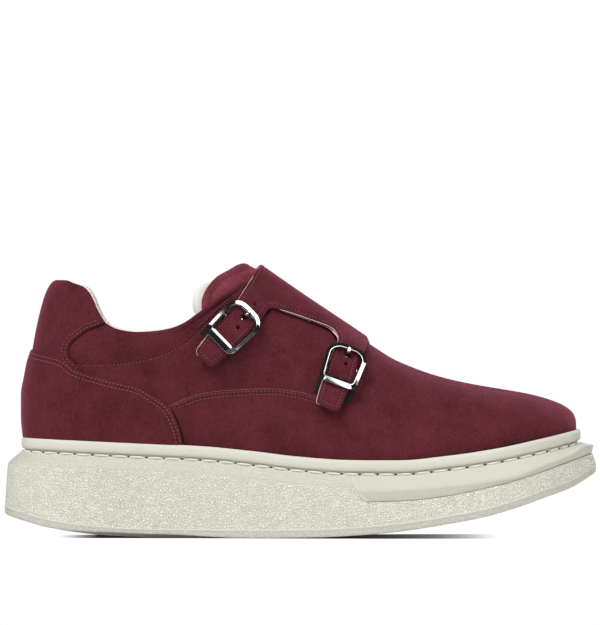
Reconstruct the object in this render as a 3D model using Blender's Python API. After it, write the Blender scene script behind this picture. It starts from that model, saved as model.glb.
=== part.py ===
"""Right shoe: a double monk-strap upper on a thick cup sole.

Frame: +X points to the toe, -Y to the outer (lateral) side, +Y to the inner (medial) side, +Z up.
The shoe stands on its sole at z = 0.  Tables and dimensions are in millimetres.
"""
from math import asin, cos, pi, radians, sin, sqrt

import bmesh
import bpy
from mathutils import Vector

for leftover in list(bpy.data.objects):
    bpy.data.objects.remove(leftover)

MM = 0.001

# ---------------------------------------------------------------- driving dimensions
SOLE_LENGTH = 305.0
SOLE_REACH = SOLE_LENGTH / 2
UPPER_BACK = 142.6          # rearmost point of the bare upper, behind the middle of the shoe
UPPER_TIP = 142.4           # foremost point of the upper
HEEL_AXIS = -98.0           # the heel is fanned around this upright axis
TOE_START = 92.0            # the toe closes from here to the tip
HEEL_ROUND = 2.1            # power of the heel's plan curve, 2 is an ellipse
TOE_ROUND = 2.25            # power of the toe's plan curve
TOE_DROP = 3.5              # power of the toe's fall in side view
SOLE_MARGIN = 7.5           # how far the sole's foot stands out from the feather line

WALL = 2.2                  # suede and lining
COLLAR_PAD = 3.2            # extra thickness of the padded collar
GAP = 0.3                   # air between pieces that touch
OVERLAY = 1.5               # heel counter
STRAP = 2.2                 # instep flap and its straps
STRAP_LIFT = 3.3            # how far the straps stand off the quarter over the buckles' bars
TONGUE = 5.0                # padded tongue
TONGUE_GAP = 0.8            # air between the tongue and the quarters over it

WELT_HEIGHT = 6.0
WELT_PROUD = 2.3
OUTSOLE_HEIGHT = 4.5
CHAMFER_DEPTH = 13.5        # from the welt's top to the foot of the chamfer
FAN_STEP = 12.0             # degrees between ribs round the heel
RIB_STEP = 9.0              # spacing of the ribs along the foot
TOE_RIBS = 8
ROWS = 11                   # rows from the feather line to the top of a rib


class Table:
    """Rows of named columns, read between rows with a smooth curve."""

    def __init__(self, columns, rows):
        self.at = [row[0] for row in rows]
        self.columns = {}
        for number, name in enumerate(columns):
            self.columns[name] = [row[number] for row in rows]

    def read(self, name, where):
        xs = self.at
        ys = self.columns[name]
        where = min(max(where, xs[0]), xs[-1])
        slot = max(i for i in range(len(xs) - 1) if xs[i] <= where)
        width = xs[slot + 1] - xs[slot]
        step = (where - xs[slot]) / width
        start = self.slope(xs, ys, slot) * width
        stop = self.slope(xs, ys, slot + 1) * width
        rise = ys[slot + 1] - ys[slot]
        return (ys[slot] + start * step + (3 * rise - 2 * start - stop) * step ** 2
                + (start + stop - 2 * rise) * step ** 3)

    @staticmethod
    def slope(xs, ys, i):
        """Slope at a row, flattened where the column turns, so that it never overshoots."""
        if i == 0:
            return (ys[1] - ys[0]) / (xs[1] - xs[0])
        if i == len(xs) - 1:
            return (ys[-1] - ys[-2]) / (xs[-1] - xs[-2])
        before = (ys[i] - ys[i - 1]) / (xs[i] - xs[i - 1])
        after = (ys[i + 1] - ys[i]) / (xs[i + 1] - xs[i])
        if before * after <= 0:
            return 0.0
        return 2 * before * after / (before + after)


# ---------------------------------------------------------------- the last
# One row for each cross-section.  feather: where the upper meets the welt.  ridge: the instep line,
# carried on over the open throat.  fullness: shape of the section.  lateral, medial: half widths.
# spine: sideways place of the ridge.
LAST = Table(
    ("x", "feather", "ridge", "fullness", "lateral", "medial", "spine"),
    (
        (-145, 51.5, 190.0, 2.4, 33.5, 33.5, 0.0),
        (-98, 49.3, 190.0, 2.4, 33.5, 33.5, 0.0),
        (-75, 48.2, 175.0, 2.2, 33.5, 32.3, 0.0),
        (-50, 47.0, 158.0, 1.9, 35.0, 31.3, 0.0),
        (-25, 44.6, 140.6, 1.7, 38.0, 31.8, 0.5),
        (0, 41.7, 123.2, 1.6, 42.0, 34.0, 1.5),
        (25, 40.1, 106.5, 1.6, 46.0, 38.0, 3.0),
        (37, 40.0, 98.4, 1.7, 47.8, 41.0, 3.5),
        (50, 40.0, 90.5, 1.8, 48.8, 44.2, 4.0),
        (75, 42.3, 81.6, 2.0, 48.8, 48.0, 5.0),
        (99, 45.8, 76.8, 2.3, 46.8, 48.8, 6.0),
        (124, 51.0, 73.4, 2.5, 42.0, 46.5, 6.8),
        (143, 55.3, 71.0, 2.6, 37.0, 43.5, 7.0),
    ))

# The back of the heel: how far it stands behind the middle of the shoe at each height.
HEEL = Table(
    ("z", "back"),
    (
        (44, 141.2),
        (52, 141.8),
        (62, UPPER_BACK),
        (73, UPPER_BACK),
        (83, 141.0),
        (95, 138.7),
        (108, 136.3),
        (120, 133.4),
        (126, 131.4),
        (130, 129.2),
        (133, 126.5),
    ))

# The collar and the edge of the throat, from the top of the heel to the end of the slit.
COLLAR = Table(
    ("x", "top"),
    (
        (-135, 130.0),
        (-124, 132.2),
        (-117, 131.0),
        (-111, 127.2),
        (-105, 117.5),
        (-99, 109.8),
        (-92, 106.6),
        (-84, 105.6),
        (-74, 106.2),
        (-66, 107.7),
        (-60, 110.2),
        (-52, 115.8),
        (-37, 126.4),
        (-27, 132.0),
        (-18, 130.0),
        (-8, 124.0),
        (4, 116.4),
    ))
THROAT_END = 4.0            # the slit under the flap closes here
SLIT_STEP = 1.5             # half the short step in which it closes

# The sole: underside, and the two lines of the toe bumper.
SOLE = Table(
    ("x", "ground", "ridge", "line"),
    (
        (-152.5, 11.0, 24.0, 19.0),
        (-142, 7.9, 24.0, 19.0),
        (-130, 4.9, 24.0, 19.0),
        (-115, 2.1, 24.0, 19.0),
        (-98, 0.0, 24.0, 19.0),
        (-60, 0.0, 24.0, 19.0),
        (-20, 0.0, 24.0, 19.0),
        (35, 0.0, 24.4, 18.9),
        (52, 2.4, 25.0, 19.3),
        (72, 5.8, 26.6, 21.4),
        (92, 10.0, 28.8, 25.2),
        (108, 14.8, 31.6, 29.0),
        (124, 20.2, 37.4, 34.0),
        (140, 26.0, 43.2, 39.8),
        (152.5, 33.0, 47.2, 43.4),
    ))


def section(x, name):
    return LAST.read(name, x)


def ridge_slope(x):
    return (section(x + 1, "ridge") - section(x - 1, "ridge")) / 2


def close(x, grow, power):
    """How much of the width or height is left towards the toe's tip."""
    reach = (x - TOE_START) / (UPPER_TIP + grow - TOE_START)
    reach = min(max(reach, 0.0), 1.0)
    return (1 - reach ** power) ** (1 / power)


def ridge_height(x, grow):
    """Top of the section, the surface standing grow outside the bare upper."""
    feather = section(x, "feather")
    rise = section(x, "ridge") + grow * sqrt(1 + ridge_slope(x) ** 2) - feather
    return feather + rise * close(x, grow, TOE_DROP)


def section_width(x, z, side, grow):
    """Half width from the spine at a height; side is -1 lateral, +1 medial."""
    name = "lateral" if side < 0 else "medial"
    half = section(x, name) - side * section(x, "spine") + grow
    feather = section(x, "feather")
    height = max(ridge_height(x, grow) - feather, 0.001)
    t = min(max((z - feather) / height, 0.0), 1.0)
    bulge = 1 + 0.35 * t * (1 - t) ** 3
    return half * close(x, grow, TOE_ROUND) * sqrt(1 - t ** section(x, "fullness")) * bulge


def side_y(x, z, side, grow):
    """Sideways place of the surface in line with a point of the side view."""
    if x >= HEEL_AXIS:
        return section(x, "spine") + side * section_width(x, z, side, grow)
    back = HEEL.read("back", z) + grow + HEEL_AXIS
    reach = min((HEEL_AXIS - x) / back, 1.0)
    return side * section_width(HEEL_AXIS, z, side, grow) * (1 - reach ** HEEL_ROUND) ** (1 / HEEL_ROUND)


class Rib:
    """One rib of the last.  kind is heel (an angle), foot (a place along X) or toe (an angle)."""

    def __init__(self, kind, where):
        self.kind = kind
        self.where = where

    def plan(self, side, half, heel_back, toe_tip):
        """A point of a plan curve with this half width at the heel, reaching from heel_back to toe_tip."""
        if self.kind == "heel":
            along = cos(self.where) / heel_back
            across = abs(sin(self.where)) / half(HEEL_AXIS)
            reach = (along ** HEEL_ROUND + across ** HEEL_ROUND) ** (-1 / HEEL_ROUND)
            return HEEL_AXIS - reach * cos(self.where), side * reach * sin(self.where)
        if self.kind == "foot":
            x = self.where
            return x, section(x, "spine") + side * half(x)
        x = TOE_START + (toe_tip - TOE_START) * sin(self.where)
        left = max(1 - sin(self.where) ** TOE_ROUND, 0.0) ** (1 / TOE_ROUND)
        return x, section(x, "spine") + side * half(x) * left

    def on_upper(self, z, side, grow):
        """The point of this rib at a height."""
        if self.kind == "heel":
            back = HEEL.read("back", z) + grow + HEEL_AXIS
            return self.plan(side, lambda x: section_width(x, z, side, grow), back, 0)
        if self.kind == "foot":
            return self.where, side_y(self.where, z, side, grow)
        x = TOE_START + (UPPER_TIP + grow - TOE_START) * sin(self.where)
        return x, side_y(x, z, side, grow)

    def x_at(self, z, grow):
        return self.on_upper(z, -1, grow)[0]

    def top(self, grow, is_open):
        """Height where the rib ends: at the collar, at the throat's edge or on the ridge."""
        if self.kind == "heel":
            z = COLLAR.read("top", HEEL_AXIS)
            for _ in range(12):
                z = (z + COLLAR.read("top", self.x_at(z, 0))) / 2
            return z
        x = self.x_at(50, grow)
        ridge = ridge_height(x, grow)
        if is_open and x < THROAT_END:
            return min(COLLAR.read("top", x), ridge)
        return ridge

    def is_closed(self, is_open):
        if self.kind == "heel":
            return False
        return not (is_open and self.kind == "foot" and self.where < THROAT_END)

    def is_tip(self):
        return self.kind == "toe" and self.where > radians(89.9)

    def on_sole(self, side, beside, behind, before):
        """A point of the plan outline that lies these distances outside the feather line."""
        def half(x):
            name = "lateral" if side < 0 else "medial"
            return section(x, name) - side * section(x, "spine") + beside
        heel_back = HEEL.read("back", 50) + behind + HEEL_AXIS
        return self.plan(side, half, heel_back, UPPER_TIP + before)

    def around(self, side, share):
        """The same, as a share of the way from the feather line to the foot of the sole."""
        behind = SOLE_REACH - HEEL.read("back", 50)
        return self.on_sole(side, share * SOLE_MARGIN, share * behind, share * (SOLE_REACH - UPPER_TIP))


def heel_ribs():
    count = round(90 / FAN_STEP)
    return [Rib("heel", radians(90 * i / count)) for i in range(count)]


def foot_ribs(start, stop, step=RIB_STEP):
    count = max(round((stop - start) / step), 1)
    return [Rib("foot", start + (stop - start) * i / count) for i in range(count + 1)]


def toe_ribs():
    return [Rib("toe", radians(90 * i / TOE_RIBS)) for i in range(1, TOE_RIBS + 1)]


# ---------------------------------------------------------------- meshes
def material(name, color, roughness, metallic=0.0):
    made = bpy.data.materials.new(name)
    made.use_nodes = True
    shader = made.node_tree.nodes["Principled BSDF"]
    shader.inputs["Base Color"].default_value = (*color, 1)
    shader.inputs["Roughness"].default_value = roughness
    shader.inputs["Metallic"].default_value = metallic
    made.diffuse_color = (*color, 1)
    return made


SUEDE = (0.15, 0.022, 0.032)
CREAM = (0.66, 0.64, 0.56)
LINING = (0.72, 0.69, 0.62)
STEEL = (0.30, 0.30, 0.31)
BLACK = (0.02, 0.02, 0.02)


def make_object(name, points, faces, finish, sharp=40):
    """A closed solid from points in millimetres; every face is turned outwards."""
    mesh = bpy.data.meshes.new(name)
    work = bmesh.new()
    corners = [work.verts.new(Vector(point) * MM) for point in points]
    for face in faces:
        work.faces.new([corners[i] for i in face])
    bmesh.ops.remove_doubles(work, verts=work.verts, dist=1e-7)
    bmesh.ops.triangulate(work, faces=[f for f in work.faces if len(f.verts) > 3])
    bmesh.ops.recalc_face_normals(work, faces=work.faces)
    work.to_mesh(mesh)
    work.free()
    mesh.materials.append(finish)
    mesh.shade_smooth()
    mesh.set_sharp_from_angle(angle=radians(sharp))
    made = bpy.data.objects.new(name, mesh)
    bpy.context.collection.objects.link(made)
    return made


def clean_face(keys):
    """The face without repeated corners, or None where it has shrunk to a line."""
    kept = []
    for key in keys:
        if key not in kept:
            kept.append(key)
    return kept if len(kept) > 2 else None


def thick_skin(name, cells, outer, inner, finish):
    """A wall between two skins with the same cells; outer and inner place a cell's corner."""
    keys = []
    for cell in cells:
        for key in cell:
            if key not in keys:
                keys.append(key)
    number = {key: i for i, key in enumerate(keys)}
    shift = len(keys)
    points = [outer(key) for key in keys] + [inner(key) for key in keys]
    faces = []
    used = {}
    for cell in cells:
        face = [number[key] for key in cell]
        faces.append(face)
        faces.append([i + shift for i in reversed(face)])
        for a, b in zip(face, face[1:] + face[:1]):
            pair = (min(a, b), max(a, b))
            used.setdefault(pair, []).append((a, b))
    for edges in used.values():
        if len(edges) == 1:
            a, b = edges[0]
            faces.append([b, a, a + shift, b + shift])
    return make_object(name, points, faces, finish)


def rib_cells(ribs, rows, is_open, base):
    """Cells of both halves of a ribbed skin.  A corner is (side, rib, row); side 0 is shared."""
    def key(side, i, j):
        rib = ribs[i]
        if rib.is_tip():
            return (0, i, min(j, 0))
        if rib.kind == "heel" and rib.where == 0:
            return (0, i, j)
        if j == rows and rib.is_closed(is_open):
            return (0, i, j)
        return (side, i, j)

    cells = []
    first = -1 if base else 0
    for side in (-1, 1):
        for i in range(len(ribs) - 1):
            for j in range(first, rows):
                corners = [key(side, i, j), key(side, i + 1, j), key(side, i + 1, j + 1), key(side, i, j + 1)]
                face = clean_face(corners if side < 0 else corners[::-1])
                if face:
                    cells.append(face)
    return cells


def rib_point(ribs, key, rows, is_open, grow, base):
    """Place of a corner on the skin that stands grow(x, z) outside the bare upper."""
    side, i, j = key
    rib = ribs[i]
    side = side or -1
    feather = section(rib.x_at(50, 0), "feather")
    if j < 0:
        z = feather - base
        x, y = rib.on_upper(z, side, grow(rib.x_at(z, 0), z))
        return x, y, z
    ridge_grow = grow(rib.x_at(100, 0), 100)
    top = rib.top(ridge_grow, is_open)
    full = ridge_height(rib.x_at(50, ridge_grow), ridge_grow) - feather
    turn = asin(min(max((top - feather) / max(full, 0.001), 0.0), 1.0))
    if rib.is_closed(is_open):
        turn = pi / 2
    share = sin(turn * j / rows) / sin(turn)
    z = feather + (top - feather) * share
    x, y = rib.on_upper(z, side, grow(rib.x_at(z, 0), z))
    return x, y, z


def loop_solid(name, ribs, rows, finish):
    """A solid lofted through closed plan outlines, flat across at the first and last row.

    rows is a list of functions of (rib, side) that give a point.
    """
    points = []
    number = {}
    for r, row in enumerate(rows):
        for i, rib in enumerate(ribs):
            for side in (-1, 1):
                single = rib.is_tip() or (rib.kind == "heel" and rib.where == 0)
                if single and side > 0:
                    number[r, i, side] = number[r, i, -1]
                    continue
                number[r, i, side] = len(points)
                points.append(row(rib, side))
    faces = []
    for i in range(len(ribs) - 1):
        for r in range(len(rows) - 1):
            for side in (-1, 1):
                face = clean_face([number[r, i, side], number[r, i + 1, side],
                                   number[r + 1, i + 1, side], number[r + 1, i, side]])
                if face:
                    faces.append(face if side < 0 else face[::-1])
        for r in (0, len(rows) - 1):
            face = clean_face([number[r, i, -1], number[r, i + 1, -1],
                               number[r, i + 1, 1], number[r, i, 1]])
            if face:
                faces.append(face if r else face[::-1])
    return make_object(name, points, faces, finish)


def ring_solid(name, ribs, rows, finish, whole=True):
    """A band round the shoe whose cross-section is the closed loop of rows.

    whole: it runs all the way round; otherwise it is a horseshoe round the toe with two flat ends.
    """
    path = [(rib, -1) for rib in ribs] + [(rib, 1) for rib in reversed(ribs[:-1])]
    if whole:
        path.pop()
    points = [row(rib, side) for rib, side in path for row in rows]
    count = len(rows)
    steps = len(path) if whole else len(path) - 1
    faces = []
    for i in range(steps):
        here = i * count
        there = (i + 1) % len(path) * count
        for r in range(count):
            after = (r + 1) % count
            faces.append([here + r, there + r, there + after, here + after])
    if not whole:
        faces.append(list(range(count))[::-1])
        faces.append([(len(path) - 1) * count + r for r in range(count)])
    return make_object(name, points, faces, finish)


def feather_at(x):
    return section(x, "feather")


def ground_at(x):
    return SOLE.read("ground", x)


def sole_row(share, height):
    """A row of the sole: share of the way out to its foot, at height(x)."""
    def place(rib, side):
        x, y = rib.around(side, share)
        return x, y, height(x)
    return place


def edge_row(out, height):
    """A row that runs out millimetres outside the feather line, at height(x)."""
    def place(rib, side):
        x, y = rib.on_sole(side, out, out, out)
        return x, y, height(x)
    return place


BUMPER_START = 31.0         # the toe bumper begins here on both sides
BUMPER_STEP = 0.6
GROOVE = 0.10               # share at which the stitch groove lies


def sole_ribs():
    """Ribs of the sole, with flat standing ground between two of them and a step for the bumper."""
    step = BUMPER_START - BUMPER_STEP
    back = [Rib("foot", x) for x in (HEEL_AXIS, -84, -72, -60, -48, -36, -24, -12, 0, 12, 22)]
    front = [Rib("foot", x) for x in (step, BUMPER_START, 35, 43, 52, 61, 70, 78, 85, TOE_START)]
    return heel_ribs() + back + front + toe_ribs()


def in_bumper(x):
    return x > BUMPER_START - BUMPER_STEP / 2


def wall_head(rib, side):
    """Top of the grained wall, under the chamfer or under the bumper."""
    x, y = rib.around(side, 0.88)
    if in_bumper(x):
        x, y = rib.around(side, 0.80)
        return x, y, SOLE.read("line", x) - GAP
    return x, y, feather_at(x) - CHAMFER_DEPTH - 1.5


def chamfer_foot(rib, side):
    x, y = rib.around(side, 0.80)
    if in_bumper(x):
        x, y = rib.around(side, 0.42)
        return x, y, SOLE.read("line", x) - GAP
    return x, y, feather_at(x) - CHAMFER_DEPTH + 0.8


def build_outsole():
    rows = [
        sole_row(0.86, ground_at),
        sole_row(1.0, lambda x: ground_at(x) + 1.4),
        sole_row(1.0, lambda x: ground_at(x) + OUTSOLE_HEIGHT),
    ]
    return loop_solid("outsole", sole_ribs(), rows, material("sole_rubber", CREAM, 0.6))


def build_midsole():
    rows = [
        sole_row(0.985, lambda x: ground_at(x) + OUTSOLE_HEIGHT + GAP),
        wall_head,
        chamfer_foot,
        sole_row(GROOVE, lambda x: feather_at(x) - WELT_HEIGHT - GAP),
    ]
    return loop_solid("midsole", sole_ribs(), rows, material("cup_rubber", CREAM, 0.6))


def build_welt():
    ribs = heel_ribs() + foot_ribs(HEEL_AXIS, TOE_START, 12) + toe_ribs()
    profile = ((GAP, -WELT_HEIGHT), (1.7, -WELT_HEIGHT), (WELT_PROUD, -4.6), (WELT_PROUD, -1.6),
               (1.5, -0.3), (GAP, 0.0))
    rows = [edge_row(out, lambda x, drop=drop: feather_at(x) + drop) for out, drop in profile]
    return ring_solid("welt", ribs, rows, material("welt_rubber", CREAM, 0.55))


def build_toe_bumper():
    start = BUMPER_START + GAP
    ribs = [Rib("foot", x) for x in (start, 43, 52, 61, 70, 78, 85, TOE_START)] + toe_ribs()
    top = -WELT_HEIGHT - 2 * GAP
    rows = [
        sole_row(0.155, lambda x: feather_at(x) + top),
        sole_row(0.215, lambda x: feather_at(x) + top),
        sole_row(0.83, lambda x: SOLE.read("ridge", x)),
        sole_row(0.77, lambda x: SOLE.read("line", x)),
        sole_row(0.47, lambda x: SOLE.read("line", x)),
    ]
    return ring_solid("toe_bumper", ribs, rows, material("bumper_rubber", CREAM, 0.5), whole=False)


def smooth(t):
    t = min(max(t, 0.0), 1.0)
    return t * t * (3 - 2 * t)


def wall_at(x, z):
    """Thickness of the upper: padded under the collar behind the throat."""
    near = smooth((z - COLLAR.read("top", x) + 22) / 10)
    behind = smooth((-58 - x) / 14)
    return WALL + COLLAR_PAD * near * behind


def build_upper():
    behind_slit = foot_ribs(HEEL_AXIS, THROAT_END - SLIT_STEP)
    before_slit = foot_ribs(THROAT_END + SLIT_STEP, TOE_START)
    ribs = heel_ribs() + behind_slit + before_slit + toe_ribs()
    cells = rib_cells(ribs, ROWS, True, True)
    return thick_skin(
        "upper", cells,
        lambda key: rib_point(ribs, key, ROWS, True, lambda x, z: 0.0, WELT_HEIGHT),
        lambda key: rib_point(ribs, key, ROWS, True, lambda x, z: -wall_at(x, z), WELT_HEIGHT),
        material("suede", SUEDE, 0.9))


def build_insole():
    ribs = heel_ribs() + foot_ribs(HEEL_AXIS, TOE_START, 14) + toe_ribs()
    inset = -WALL - 2 * GAP

    def bed(x):
        return feather_at(x) - 1.5 + 7.5 * smooth((20 - x) / 100)

    rows = [
        edge_row(inset, lambda x: feather_at(x) - WELT_HEIGHT),
        edge_row(inset, lambda x: bed(x) - 1.0),
        edge_row(inset - 1.5, bed),
    ]
    return loop_solid("insole", ribs, rows, material("insole_lining", LINING, 0.8))


# ---------------------------------------------------------------- pieces cut from shells of the last
def outline_prism(name, outline, side):
    """A cutter that runs sideways from the middle of the shoe, with an outline in side view."""
    near = 0.0
    far = side * 90.0
    count = len(outline)
    points = [(x, near, z) for x, z in outline] + [(x, far, z) for x, z in outline]
    faces = [list(range(count)), [i + count for i in reversed(range(count))]]
    for i in range(count):
        after = (i + 1) % count
        faces.append([i, after, after + count, i + count])
    cutter = make_object(name, points, faces, material("guide", LINING, 1.0))
    cutter.hide_render = True
    cutter.display_type = "WIRE"
    return cutter


def both_sides_prism(name, outline):
    """A cutter with the same outline on both sides of the shoe."""
    cutter = outline_prism(name, outline, 1)
    for vertex in cutter.data.vertices:
        if abs(vertex.co.y) < 1e-6:
            vertex.co.y = -90 * MM
    return cutter


def cut(piece, cutter, operation="INTERSECT"):
    modifier = piece.modifiers.new(operation.lower(), "BOOLEAN")
    modifier.operation = operation
    modifier.object = cutter
    modifier.solver = "EXACT"


def shell(name, ribs, rows, inside, outside, finish):
    """A whole arch of the last between two distances outside the bare upper."""
    cells = rib_cells(ribs, rows, False, False)
    return thick_skin(
        name, cells,
        lambda key: rib_point(ribs, key, rows, False, lambda x, z: outside, 0),
        lambda key: rib_point(ribs, key, rows, False, lambda x, z: inside, 0),
        finish)


TONGUE_OUTLINE = (
    (-27.0, 146.0), (-30.0, 142.0), (-37.0, 138.0), (-44.0, 134.2), (-49.5, 130.2), (-52.3, 126.0),
    (-52.6, 120.0), (-50.0, 110.0), (-44.0, 100.0), (-30.0, 95.0), (0.0, 88.0), (20.0, 84.0),
    (24.0, 90.0), (24.0, 146.0),
)


def build_tongue():
    ribs = foot_ribs(-60, 30, 7.5)
    face = -WALL - TONGUE_GAP
    tongue = shell("tongue", ribs, 10, face - TONGUE, face, material("tongue_suede", SUEDE, 0.9))
    cut(tongue, both_sides_prism("tongue_outline", TONGUE_OUTLINE))
    return tongue


# ---------------------------------------------------------------- heel counter, instep flap, buckles
COUNTER_OUTLINE = (
    (-150.0, 97.0), (-137.5, 95.4), (-128.7, 93.6), (-121.0, 91.2), (-116.9, 87.4), (-112.2, 85.3),
    (-97.3, 80.9), (-82.8, 77.3), (-77.4, 74.2), (-67.7, 67.1), (-62.7, 57.7), (-59.4, 47.9),
    (-75.0, 48.6), (-98.0, 49.7), (-120.0, 50.7), (-150.0, 52.1),
)

FLAP_OUTER_SIDE = (
    (-18.0, 150.0), (-20.9, 139.7), (-31.2, 123.7), (-36.3, 116.2), (-44.2, 108.3), (-47.6, 104.3),
    (-53.9, 95.8), (-45.5, 87.5), (-34.0, 97.7), (-24.1, 107.6), (-19.9, 113.5), (-16.6, 117.8),
    (-14.6, 118.6), (-5.4, 115.8), (13.2, 109.3), (16.8, 107.4), (19.2, 104.7), (19.6, 102.3),
    (16.3, 95.0), (13.2, 86.6), (8.5, 71.6), (8.3, 70.1), (10.2, 68.6), (18.7, 65.1), (19.9, 66.3),
    (27.0, 81.7), (30.0, 91.8), (33.4, 97.9), (34.8, 101.0), (34.3, 103.5), (36.0, 112.0), (36.0, 150.0),
)

FLAP_INNER_SIDE = (
    (-18.0, 150.0), (-20.9, 139.7), (-31.0, 127.0), (-41.0, 116.5), (-46.5, 108.0), (-47.0, 101.0),
    (-41.5, 95.5), (-30.0, 92.0), (-10.0, 88.0), (10.0, 83.5), (24.0, 80.0), (32.0, 80.5), (37.0, 85.0),
    (38.3, 91.0), (36.5, 98.0), (34.3, 103.5), (36.0, 112.0), (36.0, 150.0),
)

# The buckles in side view: middle, direction of the strap towards its tail, and how long they look.
BUCKLES = (
    {"name": "rear", "x": -34.1, "z": 108.5, "down": (-0.71, -0.70), "look": 1.045},
    {"name": "front", "x": 21.9, "z": 88.4, "down": (-0.34, -0.94), "look": 1.24},
)
BUCKLE_LENGTH = 25.0
BUCKLE_WIDTH = 20.0
TOP_BAR = 3.2
SIDE_BAR = 2.4
TAIL_BAR = 4.2
BAR_HEIGHT = 2.2
BAR_BOTTOM = GAP + STRAP_LIFT + STRAP + GAP
TAIL_LENGTH = 23.5          # from the middle of the buckle to the strap's end
ELASTIC = 0.7
ELASTIC_LENGTH = 15.5
ELASTIC_WIDTH = 19.6
PIVOT_BOTTOM = 1.3
PIVOT_TOP = 2.2
PRONG_WIDTH = 2.2
HOLE_LENGTH = 3.4           # of the prong's hole, inside the top bar


def side_spot(buckle, along, across):
    """Side-view place of a point of a buckle: along the strap to its tail, and across it."""
    down_x, down_z = buckle["down"]
    along = along / buckle["look"]
    return buckle["x"] + along * down_x - across * down_z, buckle["z"] + along * down_z + across * down_x


def buckle_point(buckle, along, across, height):
    """A point that stands height over the quarter, on the outer side of the shoe."""
    x, z = side_spot(buckle, along, across)
    return x, side_y(x, z, -1, height), z


def distance_to_strap(buckle, x, z):
    """Distance in side view to the middle line of the strap, from the buckle's middle to the tail."""
    x0, z0 = side_spot(buckle, -3.0, 0)
    x1, z1 = side_spot(buckle, TAIL_LENGTH, 0)
    dx, dz = x1 - x0, z1 - z0
    share = ((x - x0) * dx + (z - z0) * dz) / (dx * dx + dz * dz)
    share = min(max(share, 0.0), 1.0)
    return sqrt((x - x0 - share * dx) ** 2 + (z - z0 - share * dz) ** 2)


def strap_lift(x, z, side):
    """How far the flap is lifted off the quarter here by the buckles' bars."""
    if side > 0:
        return 0.0
    nearest = min(distance_to_strap(buckle, x, z) for buckle in BUCKLES)
    return STRAP_LIFT * smooth((17.5 - nearest) / 9)


def lifted_point(ribs, key, rows, outside):
    """A corner of the flap's skin: it is lifted where a strap crosses a buckle."""
    side, i, _ = key
    x, y, z = rib_point(ribs, key, rows, False, lambda x, z: outside, 0)
    if side:
        y = ribs[i].on_upper(z, side, outside + strap_lift(x, z, side))[1]
    return x, y, z


def build_heel_counter():
    ribs = heel_ribs() + foot_ribs(HEEL_AXIS, -52)
    cells = rib_cells(ribs, ROWS, True, False)
    counter = thick_skin(
        "heel_counter", cells,
        lambda key: rib_point(ribs, key, ROWS, True, lambda x, z: GAP + OVERLAY, 0),
        lambda key: rib_point(ribs, key, ROWS, True, lambda x, z: GAP, 0),
        material("counter_suede", SUEDE, 0.9))
    cut(counter, both_sides_prism("counter_outline", COUNTER_OUTLINE))
    return counter


def build_strap_flap():
    ribs = foot_ribs(-62, 44, 5.5)
    rows = 18
    cells = rib_cells(ribs, rows, False, False)
    flap = thick_skin(
        "strap_flap", cells,
        lambda key: lifted_point(ribs, key, rows, GAP + STRAP),
        lambda key: lifted_point(ribs, key, rows, GAP),
        material("flap_suede", SUEDE, 0.9))
    outline = outline_prism("flap_outline_outer", FLAP_OUTER_SIDE, -1)
    inner = outline_prism("flap_outline_inner", FLAP_INNER_SIDE, 1)
    cut(outline, inner, "UNION")
    cut(flap, outline)
    for buckle in BUCKLES:
        cut(flap, prong_hole(buckle), "DIFFERENCE")
    return flap


def local_prism(name, buckle, profile, low, high, finish, place):
    """A prism between two levels; place turns (a, b, level) into a point over the quarter."""
    count = len(profile)
    points = [place(buckle, a, b, low) for a, b in profile] + [place(buckle, a, b, high) for a, b in profile]
    faces = [list(range(count)), [i + count for i in reversed(range(count))]]
    for i in range(count):
        after = (i + 1) % count
        faces.append([i, after, after + count, i + count])
    return make_object(name, points, faces, finish)


def prong_hole(buckle):
    near_bar = -BUCKLE_LENGTH / 2 + TOP_BAR
    half = PRONG_WIDTH / 2 + GAP
    start = near_bar - GAP
    stop = near_bar + HOLE_LENGTH
    profile = ((start, -half), (stop, -half), (stop, half), (start, half))
    hole = local_prism("prong_hole_" + buckle["name"], buckle, profile, 1.0, 9.0,
                       material("guide", LINING, 1.0), buckle_point)
    hole.hide_render = True
    hole.display_type = "WIRE"
    return hole


def frame_path():
    """Middle line of the frame: (along, across, outward along, outward across, width of the bar)."""
    top = BUCKLE_LENGTH / 2 - TOP_BAR / 2
    tail = BUCKLE_LENGTH / 2 - TAIL_BAR / 2
    half = BUCKLE_WIDTH / 2 - SIDE_BAR / 2
    path = []
    for sign_along, sign_across, first in ((1, 1, 0), (-1, 1, 90), (-1, -1, 180), (1, -1, 270)):
        end, radius, bar = (tail, 1.8, TAIL_BAR) if sign_along > 0 else (top, 4.6, TOP_BAR)
        for step in range(4):
            turn = radians(first + 30 * step)
            on_bar = abs(cos(turn))
            width = SIDE_BAR + (bar - SIDE_BAR) * on_bar
            path.append((sign_along * (end - radius) + radius * cos(turn),
                         sign_across * (half - radius) + radius * sin(turn),
                         cos(turn), sin(turn), width))
    return path


def with_middles(path, longest=5.0):
    """The closed path with extra points on its straight runs, so that it follows the last."""
    filled = []
    for here, there in zip(path, path[1:] + path[:1]):
        run = sqrt((there[0] - here[0]) ** 2 + (there[1] - here[1]) ** 2)
        parts = max(int(run / longest) + 1, 1)
        for part in range(parts):
            share = part / parts
            filled.append([a + (b - a) * share for a, b in zip(here, there)])
    return filled


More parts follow.
